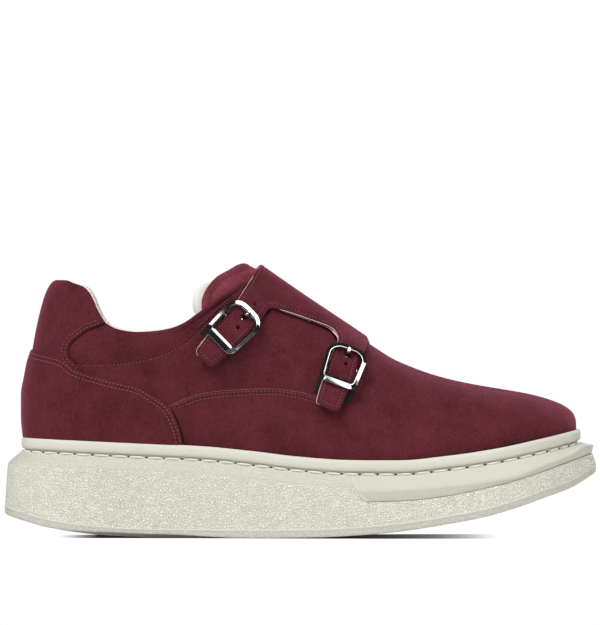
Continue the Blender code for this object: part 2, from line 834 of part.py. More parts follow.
def build_buckle_frame(buckle):
    """A rounded square ring with a pivot bar that hangs between its long sides, under the strap."""
    sides = 8
    middle = BAR_BOTTOM + BAR_HEIGHT / 2
    path = with_middles(frame_path())
    points = []
    for along, across, out_along, out_across, width in path:
        for i in range(sides):
            turn = 2 * pi * (i + 0.5) / sides
            out = cos(turn) * width / 2
            points.append(buckle_point(buckle, along + out * out_along, across + out * out_across,
                                       middle + sin(turn) * BAR_HEIGHT / 2))
    faces = []
    for i in range(len(path)):
        after = (i + 1) % len(path)
        for j in range(sides):
            k = (j + 1) % sides
            faces.append([i * sides + j, after * sides + j, after * sides + k, i * sides + k])
    steel = material("steel_" + buckle["name"], STEEL, 0.2, 1.0)
    frame = make_object("buckle_frame_" + buckle["name"], points, faces, steel)

    half = BUCKLE_WIDTH / 2 - 0.7
    inner = half - 1.1
    under = [(half * share, PIVOT_BOTTOM) for share in (-1, -0.65, -0.3, 0, 0.3, 0.65, 1)]
    over = [(inner * share, PIVOT_TOP) for share in (1, 0.65, 0.3, 0, -0.3, -0.65, -1)]
    profile = under + [(half, middle), (inner, middle)] + over + [(-inner, middle), (-half, middle)]
    bar = local_prism("pivot_bar_" + buckle["name"], buckle, profile, -1.2, 1.2, steel,
                      lambda b, across, height, along: buckle_point(b, along, across, height))
    bar.hide_render = True
    bar.display_type = "WIRE"
    cut(frame, bar, "UNION")
    return frame


def build_buckle_prong(buckle):
    """A prong hooked round the pivot bar, up through the strap and over the top bar."""
    bar_inside = -BUCKLE_LENGTH / 2 + TOP_BAR
    over_bar = BAR_BOTTOM + BAR_HEIGHT + GAP
    eye_top = PIVOT_TOP + GAP
    profile = (
        (-12.9, over_bar + 0.4), (-12.3, over_bar + 1.1), (bar_inside, over_bar + 1.2),
        (bar_inside + 1.5, over_bar + 0.4), (bar_inside + 1.7, 5.9), (bar_inside + 2.9, 3.3),
        (-2.0, 3.3), (2.4, 3.3), (2.4, GAP), (-0.8, GAP), (-0.8, 1.0), (1.6, 1.0), (1.6, eye_top),
        (-2.0, eye_top), (bar_inside + 2.1, eye_top), (bar_inside + 0.6, 5.4),
        (bar_inside + GAP, over_bar - 0.9), (bar_inside - 0.2, over_bar),
        (-12.2, over_bar),
    )
    half = PRONG_WIDTH / 2
    return local_prism("buckle_prong_" + buckle["name"], buckle, profile, -half, half,
                       material("prong_" + buckle["name"], STEEL, 0.2, 1.0),
                       lambda b, along, height, across: buckle_point(b, along, across, height))


def build_elastic_tab(buckle):
    """A flat elastic from the pivot bar to the quarter, notched round the prong's eye."""
    wide = ELASTIC_WIDTH / 2
    notch = PRONG_WIDTH / 2 + 2 * GAP
    corners = ((-1.4, -wide), (-1.4, -notch), (3.0, -notch), (3.0, notch), (-1.4, notch), (-1.4, wide),
               (ELASTIC_LENGTH, wide), (ELASTIC_LENGTH, -wide))
    outline = [side_spot(buckle, along, across) for along, across in corners]
    ribs = foot_ribs(buckle["x"] - 30, buckle["x"] + 16, 5)
    name = "elastic_tab_" + buckle["name"]
    tab = shell(name, ribs, 16, GAP, GAP + ELASTIC, material("elastic_" + buckle["name"], BLACK, 0.8))
    cut(tab, outline_prism(name + "_outline", outline, -1))
    return tab


def main():
    build_outsole()
    build_midsole()
    build_welt()
    build_toe_bumper()
    build_upper()
    build_insole()
    build_tongue()
    build_heel_counter()
    build_strap_flap()
    for buckle in BUCKLES:
        build_elastic_tab(buckle)
        build_buckle_frame(buckle)
        build_buckle_prong(buckle)


main()
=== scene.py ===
# %% [markdown]
# # A double-monk shoe with hidden lift
#
# This lesson builds the looks of one right shoe in Blender: a suede upper with two buckled straps on
# a thick cup sole.  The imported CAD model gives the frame.  Every piece below is made in the same
# place and size as the CAD solid that it stands for, only with far more detail: rolled edges,
# padding, stitches, grain.  The toe points along +X, the outer side of the foot faces -Y, +Z is up.

# %% Load the frame
from math import cos, pi, radians, sin

import bmesh
import bpy
import numpy as np
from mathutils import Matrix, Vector
from mathutils.geometry import delaunay_2d_cdt
from mathutils.kdtree import KDTree


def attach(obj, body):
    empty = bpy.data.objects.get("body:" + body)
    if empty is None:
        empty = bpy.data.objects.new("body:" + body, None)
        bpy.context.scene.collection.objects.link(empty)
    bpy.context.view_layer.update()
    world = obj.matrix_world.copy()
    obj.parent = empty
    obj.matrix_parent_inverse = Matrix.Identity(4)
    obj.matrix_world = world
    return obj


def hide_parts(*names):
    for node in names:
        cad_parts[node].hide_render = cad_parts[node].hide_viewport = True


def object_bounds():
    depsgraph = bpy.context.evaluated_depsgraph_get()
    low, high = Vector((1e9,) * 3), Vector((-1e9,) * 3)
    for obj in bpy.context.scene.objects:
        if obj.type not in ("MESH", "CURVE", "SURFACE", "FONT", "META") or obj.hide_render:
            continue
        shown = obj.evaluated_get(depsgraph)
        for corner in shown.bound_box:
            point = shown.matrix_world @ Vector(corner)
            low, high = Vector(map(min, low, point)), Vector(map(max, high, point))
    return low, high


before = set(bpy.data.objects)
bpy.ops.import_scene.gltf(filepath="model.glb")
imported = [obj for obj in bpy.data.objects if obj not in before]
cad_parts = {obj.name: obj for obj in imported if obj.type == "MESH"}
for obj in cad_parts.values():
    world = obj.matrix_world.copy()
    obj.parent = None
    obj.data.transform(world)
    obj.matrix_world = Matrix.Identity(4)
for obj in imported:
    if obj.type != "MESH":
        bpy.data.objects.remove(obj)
CAD_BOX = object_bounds()
MM = 0.001
print("CAD box in mm:", [[round(c / MM, 1) for c in corner] for corner in CAD_BOX])

# %% [markdown]
# ## Camera
# A product view of a shoe looks straight at its outer side from far away with a long lens, so that
# the sole's near and far edges fall on nearly one line.  The camera is level, half way up a frame
# that is a little taller than wide, and the whole frame is as wide as the sole plus a narrow margin.

# %% The camera
CAMERA_DISTANCE = 5.0
SENSOR = 36.0
FRAME_WIDTH = 0.3096
FRAME_MIDDLE = (-0.0003, 0.1155)


def link(thing):
    bpy.context.collection.objects.link(thing)
    return thing


camera_data = bpy.data.cameras.new("camera")
camera_data.sensor_fit = "HORIZONTAL"
camera_data.sensor_width = SENSOR
camera_data.lens = SENSOR * CAMERA_DISTANCE / FRAME_WIDTH
camera_data.clip_end = 100
camera = link(bpy.data.objects.new("camera", camera_data))
camera.location = (FRAME_MIDDLE[0], -CAMERA_DISTANCE, FRAME_MIDDLE[1])
camera.rotation_euler = (radians(90), 0, 0)
bpy.context.scene.camera = camera
print("lens:", round(camera_data.lens), "mm")

# %% [markdown]
# ## Working with nodes
# Floor, light and finishes are all trees of shader nodes.  One helper makes a node and gives each of
# its inputs a plain value or a link, which keeps the trees readable.  The others are the few nodes
# that turn up again and again: sums, colour ramps, colour mixes, noise and bump.

# %% Helpers for nodes
def feed(tree, socket, value):
    """Gives an input a plain value, or links it to an output."""
    if isinstance(value, bpy.types.NodeSocket):
        tree.links.new(value, socket)
    else:
        socket.default_value = (*value, 1) if socket.type == "RGBA" else value


def add_node(tree, kind, inputs={}, **settings):
    """A node; inputs are named or numbered, settings are its own properties."""
    made = tree.nodes.new("ShaderNode" + kind)
    for name, value in settings.items():
        setattr(made, name, value)
    for name, value in inputs.items():
        feed(tree, made.inputs[name], value)
    return made


def calc(tree, operation, *values):
    return add_node(tree, "Math", dict(enumerate(values)), operation=operation).outputs[0]


def object_place(tree):
    return add_node(tree, "TexCoord").outputs["Object"]


def noise(tree, scale, detail, roughness=0.5, distortion=0.0, where=None):
    """Soft clouds fixed to the object."""
    return add_node(tree, "TexNoise", {
        "Vector": where or object_place(tree), "Scale": scale, "Detail": detail,
        "Roughness": roughness, "Distortion": distortion}).outputs["Fac"]


def ramp(tree, mask, *stops):
    """Colours that run through the stops (place, colour) as the mask rises."""
    made = add_node(tree, "ValToRGB", {"Fac": mask})
    elements = made.color_ramp.elements
    for _ in stops[2:]:
        elements.new(0.5)
    for element, (place, color) in zip(elements, stops):
        element.position = place
        element.color = (*color, 1)
    return made.outputs["Color"]


def mix_color(tree, mask, low, high):
    """One colour where the mask is 0 and another where it is 1; each is a socket or a colour."""
    return add_node(tree, "Mix", {0: mask, 6: low, 7: high}, data_type="RGBA").outputs[2]


def mix_shaders(tree, mask, first, second):
    return add_node(tree, "MixShader", {0: mask, 1: first, 2: second}).outputs[0]


def bump(tree, height, distance, strength, **more):
    inputs = {"Height": height, "Distance": distance, "Strength": strength, **more}
    return add_node(tree, "Bump", inputs).outputs["Normal"]


def grey(tone):
    return (tone, tone, tone)


def shaded(color, share):
    return [c * share for c in color]


def plain_material(name, color, roughness, inputs={}):
    """A material, its tree and its Principled shader."""
    made = bpy.data.materials.new(name)
    made.use_nodes = True
    tree = made.node_tree
    shader = tree.nodes["Principled BSDF"]
    for socket, value in {"Base Color": color, "Roughness": roughness, **inputs}.items():
        feed(tree, shader.inputs[socket], value)
    return made, tree, shader


# %% [markdown]
# ## Floor
# The floor is one wide pale sheet.  Seen directly it is plain white with a thin contact shadow: the
# ambient occlusion node tells how closed in a spot is, a ramp turns that into greys, and the shadow
# fades out behind the heel, where the sole curls up.  Polished buckles only look like metal when
# they mirror something both bright and dark.  So mirrors see a dark floor, with one pale strip
# across it in front of the shoe, like a photographer's card.

# %% Floor
FLOOR_REACH = 40.0
FLOOR_TONE = 0.96
FLOOR_IN_MIRRORS = 0.04
CARD_IN_MIRRORS = 0.6
CARD_REACH = (-0.44, -0.20)
CONTACT_REACH = 0.0175
CONTACT_TONES = ((0.02, 0.01), (0.20, 0.22), (0.54, 1.0))
FADE_AT_HEEL = {"From Min": -0.104, "From Max": -0.132, "To Max": 0.6}
WHITE = 1.02

floor_mesh = bpy.data.meshes.new("floor")
corners = [(x * FLOOR_REACH, y * FLOOR_REACH, 0) for x, y in ((-1, -1), (1, -1), (1, 1), (-1, 1))]
floor_mesh.from_pydata(corners, [], [(0, 1, 2, 3)])
floor_paint, tree, shader = plain_material(
    "floor_paint", grey(FLOOR_TONE), 0.6, {"Specular IOR Level": 0.1})
ray = add_node(tree, "LightPath").outputs
place = add_node(tree, "SeparateXYZ", {0: object_place(tree)}).outputs
on_card = calc(tree, "COMPARE", place["Y"], sum(CARD_REACH) / 2, (CARD_REACH[1] - CARD_REACH[0]) / 2)
mirrored = mix_color(tree, on_card, grey(FLOOR_IN_MIRRORS), grey(CARD_IN_MIRRORS))
feed(tree, shader.inputs["Base Color"],
     mix_color(tree, ray["Is Glossy Ray"], grey(FLOOR_TONE), mirrored))
openness = add_node(tree, "AmbientOcclusion", {"Distance": CONTACT_REACH}).outputs["AO"]
fade = add_node(tree, "MapRange", {"Value": place["X"], **FADE_AT_HEEL}).outputs["Result"]
contact = ramp(tree, calc(tree, "ADD", openness, fade), *[(at, grey(tone)) for at, tone in CONTACT_TONES])
seen = add_node(tree, "Emission", {"Color": contact, "Strength": WHITE}).outputs[0]
feed(tree, tree.nodes["Material Output"].inputs["Surface"],
     mix_shaders(tree, ray["Is Camera Ray"], shader.outputs[0], seen))
floor_mesh.materials.append(floor_paint)
floor = link(bpy.data.objects.new("floor", floor_mesh))
print("floor:", 2 * FLOOR_REACH, "m wide")

# %% [markdown]
# ## Lights
# Suede and cream rubber need soft light from several sides.  Three suns with wide angles give it,
# and light the floor evenly as far as it goes.  Mirrors don't see the suns: the world shows them a
# dark room with bright soft boxes instead.  Each box is the part of the sky near two planes through
# the shoe, so its long axis stands square to the direction of its middle.  Everything else gets
# plain grey light from the world, and the background seen directly is white.

# %% Lights
SUNS = (
    # strength, width of the sun in degrees, where it shines from
    (2.50, 36, (-0.42, -0.58, 1.20)),
    (0.22, 70, (0.7, -0.8, 0.7)),
    (1.50, 35, (0.45, 1.0, 0.55)),
)
SOFT_BOXES = (
    # where its middle stands, along its length, half length, half width, brightness
    ((0.443, -0.315, 0.839), (0.413, 0.902, 0.124), 0.42, 0.37, 4.0),
    ((0.80, -0.10, 0.55), (0.0, 0.98, 0.18), 0.22, 0.22, 4.0),
    ((-0.12, -0.94, 0.32), (1.0, -0.13, 0.0), 0.25, 0.12, 4.0),
    ((-0.394, -0.348, 0.851), (-0.68, -0.512, -0.524), 0.04, 0.07, 4.0),
)
SOFT_EDGE = 0.02
DARK_ROOM = 0.03
ROOM_LIGHT = 0.48
SHOE_MIDDLE = Vector((0, 0, 0.07))

for number, (strength, width, spot) in enumerate(SUNS):
    sun = bpy.data.lights.new(f"sun_{number}", "SUN")
    sun.energy = strength
    sun.angle = radians(width)
    lamp = link(bpy.data.objects.new(sun.name, sun))
    lamp.visible_glossy = False
    lamp.location = spot
    lamp.rotation_euler = (SHOE_MIDDLE - Vector(spot)).to_track_quat("-Z", "Y").to_euler()

world = bpy.data.worlds.new("studio")
world.use_nodes = True
sky = world.node_tree
looking = add_node(sky, "TexCoord").outputs["Generated"]


def towards(axis):
    """How far each direction of the sky points along an axis."""
    return add_node(sky, "VectorMath", {0: looking, 1: axis}, operation="DOT_PRODUCT").outputs["Value"]


def within(axis, half):
    """1 in the band of the sky that lies this close to the plane across the axis."""
    return add_node(sky, "MapRange", {
        "Value": calc(sky, "ABSOLUTE", towards(axis)),
        "From Min": half + SOFT_EDGE, "From Max": half - SOFT_EDGE}).outputs["Result"]


glow = DARK_ROOM
for middle, long_axis, half_length, half_width, brightness in SOFT_BOXES:
    middle, long_axis = Vector(middle).normalized(), Vector(long_axis).normalized()
    box = towards(middle)
    for factor in (within(long_axis, half_length), within(middle.cross(long_axis), half_width), brightness):
        box = calc(sky, "MULTIPLY", box, factor)
    glow = calc(sky, "MAXIMUM", box, glow)
lighting = sky.nodes["Background"]
feed(sky, lighting.inputs["Color"], grey(ROOM_LIGHT))
mirrored = add_node(sky, "Background", {"Color": grey(1), "Strength": glow})
seen = add_node(sky, "Background", {"Color": grey(1), "Strength": WHITE})
ray = add_node(sky, "LightPath").outputs
unseen = mix_shaders(sky, ray["Is Glossy Ray"], lighting.outputs[0], mirrored.outputs[0])
feed(sky, sky.nodes["World Output"].inputs["Surface"],
     mix_shaders(sky, ray["Is Camera Ray"], unseen, seen.outputs[0]))
bpy.context.scene.world = world
bpy.context.scene.view_settings.view_transform = "Standard"
print("lights:", len(SUNS), "suns and", len(SOFT_BOXES), "soft boxes that only mirrors see")

# %% [markdown]
# ## The last
# A shoe is built over a last, and every part of the upper hugs it.  So the last is described once,
# as a table of cross-sections read with a smooth curve.  Millimetres are used until a mesh is made,
# and numpy arrays keep it fast.

# %% Tables read with a smooth curve
class Table:
    """Rows of named columns, read between rows with a smooth curve that never overshoots."""

    def __init__(self, columns, *rows):
        self.rows = np.array(rows, float)
        self.number = {name: i for i, name in enumerate(columns.split())}

    def read(self, name, where):
        xs = self.rows[:, 0]
        ys = self.rows[:, self.number[name]]
        steps = np.diff(ys) / np.diff(xs)
        slopes = np.concatenate(([steps[0]], np.zeros(len(xs) - 2), [steps[-1]]))
        rising = steps[:-1] * steps[1:] > 0
        both = np.where(rising, steps[:-1] + steps[1:], 1.0)
        slopes[1:-1] = np.where(rising, 2 * steps[:-1] * steps[1:] / both, 0.0)
        where = np.clip(np.asarray(where, float), xs[0], xs[-1])
        i = np.clip(np.searchsorted(xs, where, side="right") - 1, 0, len(xs) - 2)
        width, rise = xs[i + 1] - xs[i], ys[i + 1] - ys[i]
        t = (where - xs[i]) / width
        start, stop = slopes[i] * width, slopes[i + 1] * width
        return ys[i] + start * t + (3 * rise - 2 * start - stop) * t ** 2 + (start + stop - 2 * rise) * t ** 3


# feather: where the upper meets the welt.  ridge: the instep line, carried on over the open throat.
# fullness: shape of the section.  lateral, medial: half widths.  spine: sideways place of the ridge.
LAST = Table(
    "x feather ridge fullness lateral medial spine",
    (-145, 51.5, 190.0, 2.4, 33.5, 33.5, 0.0), (-98, 49.3, 190.0, 2.4, 33.5, 33.5, 0.0),
    (-75, 48.2, 175.0, 2.2, 33.5, 32.3, 0.0), (-50, 47.0, 158.0, 1.9, 35.0, 31.3, 0.0),
    (-25, 44.6, 140.6, 1.7, 38.0, 31.8, 0.5), (0, 41.7, 123.2, 1.6, 42.0, 34.0, 1.5),
    (25, 40.1, 106.5, 1.6, 46.0, 38.0, 3.0), (37, 40.0, 98.4, 1.7, 47.8, 41.0, 3.5),
    (50, 40.0, 90.5, 1.8, 48.8, 44.2, 4.0), (75, 42.3, 81.6, 2.0, 48.8, 48.0, 5.0),
    (99, 45.8, 76.8, 2.3, 46.8, 48.8, 6.0), (124, 51.0, 73.4, 2.5, 42.0, 46.5, 6.8),
    (143, 55.3, 71.0, 2.6, 37.0, 43.5, 7.0))
# How far the back of the heel stands behind the middle of the shoe at each height.
HEEL = Table(
    "z back",
    (44, 141.2), (52, 141.8), (62, 142.6), (73, 142.6), (83, 141.0), (95, 138.7), (108, 136.3),
    (120, 133.4), (126, 131.4), (130, 129.2), (133, 126.5))
# The collar and the edge of the throat, from the top of the heel to the end of the slit.
COLLAR = Table(
    "x top",
    (-135, 130.4), (-128, 132.3), (-121.5, 132.1), (-117, 130.5), (-112.4, 129.0), (-109.1, 126.2),
    (-107, 122.9), (-103.8, 116.4), (-99.2, 109.7), (-92, 106.6), (-84, 105.6), (-74, 106.2),
    (-66, 107.7), (-60, 110.2), (-52, 115.8), (-37, 126.4), (-27, 132.0), (-18, 130.0), (-8, 124.0),
    (4, 116.4))
HEEL_AXIS = -98.0           # the heel is fanned around this upright axis
TOE_START = 92.0            # the toe closes from here to its tip
UPPER_TIP = 142.4
HEEL_ROUND = 2.1            # powers of the plan curves of heel and toe, 2 is an ellipse
TOE_ROUND = 2.25
TOE_DROP = 3.5              # power of the toe's fall in side view
BULGE = 0.35                # the wall of the section swells by this share low down
print("last:", len(LAST.rows), "sections")

# %% [markdown]
# ## Points of the last
# Pieces are made by asking for a point a few tenths of a millimetre inside or outside the last.  There
# are two ways to ask: over_last turns from the ridge line down to the side, and on_last walks along
# the shoe at a height.  Its station is X itself along the foot, and goes on as the length of an arc
# round the heel and round the toe, so that a grid of stations wraps both ends evenly.

# %% Points of the last
def last(name, x):
    return LAST.read(name, x)


def feather(x):
    return last("feather", x)


def shrink(x, grow, power):
    """What the toe leaves of the width or height at x."""
    reach = np.clip((x - TOE_START) / (UPPER_TIP + grow - TOE_START), 0, 1)
    return (1 - reach ** power) ** (1 / power)


def ridge_height(x, grow):
    """Top of the section, for a surface that stands grow outside the last."""
    slope = (last("ridge", x + 1) - last("ridge", x - 1)) / 2
    rise = last("ridge", x) + grow * np.sqrt(1 + slope ** 2) - feather(x)
    return feather(x) + rise * shrink(x, grow, TOE_DROP)


def half_at(x, side):
    """Half width of the feather line from the spine; side is -1 outer, +1 inner side of the foot."""
    wide = np.where(side < 0, last("lateral", x), last("medial", x))
    return wide - side * last("spine", x)


def section_width(x, z, side, grow):
    """Half width from the spine at a height."""
    height = np.maximum(ridge_height(x, grow) - feather(x), 0.001)
    t = np.clip((z - feather(x)) / height, 0, 1)
    bulge = 1 + BULGE * t * (1 - t) ** 3
    arch = np.sqrt(np.maximum(1 - t ** last("fullness", x), 0))
    return (half_at(x, side) + grow) * shrink(x, grow, TOE_ROUND) * arch * bulge


def side_y(x, z, side, grow):
    """Sideways place of the surface in line with a point of the side view."""
    ahead = np.maximum(x, HEEL_AXIS)
    back = HEEL.read("back", z) + grow + HEEL_AXIS
    reach = np.clip((HEEL_AXIS - np.minimum(x, HEEL_AXIS)) / back, 0, 1)
    round_heel = (1 - reach ** HEEL_ROUND) ** (1 / HEEL_ROUND)
    return last("spine", ahead) + side * section_width(ahead, z, side, grow) * round_heel


HEEL_ARC = 67.0
TOE_ARC = 75.0
BACK_STATION = HEEL_AXIS - HEEL_ARC
TIP_STATION = TOE_START + TOE_ARC


def heel_point(station, half, back):
    """X and distance from the middle, fanned round the heel's axis."""
    angle = radians(90) * np.clip(1 - (HEEL_AXIS - station) / HEEL_ARC, 0, 1)
    along, across = np.cos(angle) / (back + HEEL_AXIS), np.sin(angle) / half
    reach = (along ** HEEL_ROUND + across ** HEEL_ROUND) ** (-1 / HEEL_ROUND)
    return HEEL_AXIS - reach * np.cos(angle), reach * np.sin(angle)


def toe_bow(station):
    return np.sin(radians(90) * np.clip((station - TOE_START) / TOE_ARC, 0, 1))


def plan_point(station, side, half, heel_back, toe_tip):
    """A point of a plan curve whose half width is half(x)."""
    station = np.asarray(station, float)
    back_x, back_y = heel_point(station, half(np.full_like(station, HEEL_AXIS)), heel_back)
    bow = toe_bow(station)
    x = np.clip(station, HEEL_AXIS, TOE_START) + (toe_tip - TOE_START) * bow
    left = np.maximum(1 - bow ** TOE_ROUND, 0) ** (1 / TOE_ROUND)
    y = last("spine", x) + side * half(x) * left
    round_heel = station < HEEL_AXIS
    return np.where(round_heel, back_x, x), np.where(round_heel, side * back_y, y)


def on_last(station, z, side, grow):
    """The point of the upper at a station and a height."""
    station, z, side, grow = np.broadcast_arrays(station, z, side, grow)
    back_x, back_y = heel_point(station, section_width(HEEL_AXIS, z, side, grow), HEEL.read("back", z) + grow)
    x = np.clip(station, HEEL_AXIS, TOE_START) + (UPPER_TIP + grow - TOE_START) * toe_bow(station)
    round_heel = station < HEEL_AXIS
    return np.stack([np.where(round_heel, back_x, x),
                     np.where(round_heel, side * back_y, side_y(x, z, side, grow)), z], -1)


def over_last(x, turn, grow):
    """The point of the upper at x, turned this far from the ridge: 90 degrees is the feather line."""
    x, turn, grow = np.broadcast_arrays(x, turn, grow)
    z = feather(x) + (ridge_height(x, grow) - feather(x)) * np.cos(turn)
    return np.stack([x, side_y(x, z, np.where(turn < 0, -1, 1), grow), z], -1)


print("instep at the middle:", np.round(over_last(0.0, 0.0, 0.0), 1))

# %% [markdown]
# ## Making meshes
# Most pieces here are bands, sheets and tubes: a grid of points, some closed round the shoe, some
# closed round their own profile.  One helper numbers the faces of such a grid, another sweeps a
# section along a line, and the last turns points into an object, welds points that fall together
# and lets the piece ride on the CAD body.

# %% Helpers for meshes
WELD = 0.003


def grid_faces(columns, rows, around=False, wrap=False):
    """Quads of a grid numbered column by column; around joins the columns, wrap joins the rows."""
    c, r = np.meshgrid(np.arange(columns - (not around)), np.arange(rows - (not wrap)), indexing="ij")
    after, above = (c + 1) % columns, (r + 1) % rows
    quads = np.stack([c * rows + r, after * rows + r, after * rows + above, c * rows + above], -1)
    return quads.reshape(-1, 4).tolist()


def flipped(faces):
    return [face[::-1] for face in faces]


def tube_faces(rings, sides):
    """Faces of a tube with flat ends."""
    start = list(range(sides))
    return grid_faces(rings, sides, wrap=True) + [start[::-1], [(rings - 1) * sides + i for i in start]]


def circle(sides):
    turns = np.linspace(0, 2 * pi, sides, endpoint=False)
    return np.stack([np.cos(turns), np.sin(turns)], -1)


def swept(centre, across, up, section, widths, heights):
    """A section, drawn in halves of a width and a height, swept along a line."""
    section = np.array(section)
    widths, heights = np.reshape(widths, (-1, 1)), np.reshape(heights, (-1, 1))
    return (centre[:, None] + np.atleast_2d(across)[:, None] * (widths * section[:, 0] / 2)[..., None]
            + np.atleast_2d(up)[:, None] * (heights * section[:, 1] / 2)[..., None])


def unit(vectors):
    return vectors / np.linalg.norm(vectors, axis=-1)[..., None]


def lengths_along(path):
    return np.concatenate([[0], np.cumsum(np.linalg.norm(np.diff(path, axis=0), axis=1))])


def blend_in(value, start, stop):
    """0 before start, 1 after stop, smooth between."""
    t = np.clip((np.asarray(value, float) - start) / (stop - start), 0, 1)
    return t * t * (3 - 2 * t)


def dent(distance, width):
    """1 on a line, fading within a width."""
    return np.exp(-(distance / width) ** 2)


def join_parts(*parts):
    """Points and faces of several sheets as one mesh."""
    points, faces, start = [], [], 0
    for some, quads in parts:
        points.append(np.asarray(some, float).reshape(-1, 3))
        faces += [[start + i for i in face] for face in quads]
        start += len(points[-1])
    return np.concatenate(points), faces


def make_piece(name, points, faces, finishes, slot, replaces=(), part=(), crease=50, closed=True):
    """An object from points in millimetres.  part: which finish each face takes, the first for the rest."""
    mesh = bpy.data.meshes.new(name)
    mesh.from_pydata((np.asarray(points, float).reshape(-1, 3) * MM).tolist(), [], faces)
    for finish in finishes:
        mesh.materials.append(finish)
    part = list(part) + [0] * (len(faces) - len(part))
    mesh.polygons.foreach_set("material_index", np.array(part, np.int32))
    work = bmesh.new()
    work.from_mesh(mesh)
    bmesh.ops.remove_doubles(work, verts=work.verts, dist=WELD * MM)
    if closed:
        bmesh.ops.recalc_face_normals(work, faces=work.faces)
    work.to_mesh(mesh)
    work.free()
    mesh.shade_smooth()
    mesh.set_sharp_from_angle(angle=radians(crease))
    piece = link(bpy.data.objects.new(name, mesh))
    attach(piece, "root")
    if replaces:
        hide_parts(*replaces)
    print(f"{name}: {len(mesh.polygons)} faces, {[round(d / MM, 1) for d in piece.dimensions]} mm")
    return piece


# %% [markdown]
# ## Shared effects for the finishes
# Two effects turn up in several materials.  Moulded rubber and lining leather both have a pebbled
# grain, and every piece of suede has a nap, brushed a little lighter here and darker there.  Each
# effect is a node group that puts out a mask and a height, and each material mixes its own colours.
# Most finishes then follow one recipe: a mask runs through a ramp of two colours, and a height
# gives a fine bump.

# %% Node groups
def new_group(name, inputs, outputs):
    """An empty node group with float inputs and outputs, what it is given and what it puts out."""
    group = bpy.data.node_groups.new(name, "ShaderNodeTree")
    for socket, value in inputs.items():
        group.interface.new_socket(socket, in_out="INPUT", socket_type="NodeSocketFloat").default_value = value
    for socket in outputs:
        group.interface.new_socket(socket, in_out="OUTPUT", socket_type="NodeSocketFloat")
    return group, group.nodes.new("NodeGroupInput").outputs, group.nodes.new("NodeGroupOutput").inputs


def pebble_group():
    """Rounded pebbles: Height is 1 on their crowns, Valley is 1 in the creases between them, where the finishes
    paint shade.
    """
    group, given, out = new_group("pebbles", {"Scale": 1000.0}, ("Height", "Valley"))
    place = object_place(group)
    sway = add_node(group, "TexNoise", {"Vector": place, "Scale": 500.0, "Detail": 1.0}).outputs["Color"]
    push = add_node(group, "VectorMath", {0: sway, 1: (0.0008, 0.0008, 0.0008), 2: place},
                    operation="MULTIPLY_ADD").outputs[0]
    cells = add_node(group, "TexVoronoi", {"Vector": push, "Scale": given["Scale"]},
                     feature="DISTANCE_TO_EDGE").outputs["Distance"]
    crown = add_node(group, "MapRange", {"Value": cells, "From Min": 0.02, "From Max": 0.30},
                     interpolation_type="SMOOTHSTEP").outputs["Result"]
    feed(group, out["Height"], crown)
    feed(group, out["Valley"], calc(group, "SUBTRACT", 1.0, crown))
    return group


def nap_group():
    """Brushed fibres: Mottle is where the nap lies lighter, Height is the pile itself."""
    group, given, out = new_group("nap", {"Cloud scale": 60.0, "Fibre scale": 1400.0}, ("Mottle", "Height"))
    stretch = add_node(group, "Mapping", {
        "Vector": object_place(group), "Rotation": (0, radians(35), 0), "Scale": (1.0, 1.0, 0.8)}).outputs[0]
    cloud = noise(group, given["Cloud scale"], 5.0, 0.62, 0.35)
    brush = noise(group, calc(group, "MULTIPLY", given["Cloud scale"], 12.0), 3.0, 0.6, where=stretch)
    fibre = noise(group, given["Fibre scale"], 3.0, 0.7)
    broad = calc(group, "MULTIPLY_ADD", brush, 0.24, calc(group, "MULTIPLY", cloud, 0.38))
    feed(group, out["Mottle"], calc(group, "MULTIPLY_ADD", fibre, 0.38, broad))
    feed(group, out["Height"], calc(group, "MULTIPLY_ADD", brush, 0.6, fibre))
    return group


PEBBLES = pebble_group()
NAP = nap_group()


def use_group(tree, group, inputs):
    made = tree.nodes.new("ShaderNodeGroup")
    made.node_tree = group
    for name, value in inputs.items():
        feed(tree, made.inputs[name], value)
    return made.outputs


def two_toned(name, roughness, texture, low, high, reach, depth, strength, inputs={}):
    """A material whose colour and relief follow a texture; texture(tree) gives a mask and a height."""
    made, tree, shader = plain_material(name, high, roughness, inputs)
    mask, height = texture(tree)
    feed(tree, shader.inputs["Base Color"], ramp(tree, mask, (reach[0], low), (reach[1], high)))
    feed(tree, shader.inputs["Normal"], bump(tree, height, depth * MM, strength))
    return made


def clouds(scale, detail):
    return lambda tree: [noise(tree, scale, detail)] * 2


print("effects:", PEBBLES.name, NAP.name)

# %% [markdown]
# ## Cream rubber
# The sole is moulded, coloured all the way through, and only slightly glossy.  Its wall is pebbled,
# its shoulder has a softer grain, and bead, bumper and tread are smooth.  One recipe makes them all:
# a fine moulded bloom everywhere, and pebbles of a given depth whose valleys are painted darker, as
# painted shade.  The copies of the one cream differ in tone to stand in for light: the wall is painted
# lighter, shoulder and foot band a little darker, and bumper and tread darker still, painted shade.

# %% Rubber finishes
CREAM = (0.62, 0.608, 0.528)
# Painted light: the pebbled wall takes a much paler copy of the cream, to make up for the little light on its
# upright face.
CREAM_OF_THE_WALL_PAINTED_LIGHTER = (0.795, 0.784, 0.688)
# Painted shade: shoulder and foot band take a slightly darker copy of the cream, tuned to how light falls on them.
CREAM_PAINTED_SLIGHTLY_DARKER = (0.60, 0.589, 0.510)
# Painted shade: the bumper takes a darker copy of the cream, standing in for the shade on its down-facing faces.
CREAM_OF_THE_BUMPER_PAINTED_DARKER = (0.535, 0.524, 0.450)
# Painted shade: the underside and the rebate take a much darker copy of the cream, standing in for the shadow under
# the sole.
CREAM_OF_THE_TREAD_PAINTED_SHADE = (0.42, 0.41, 0.355)


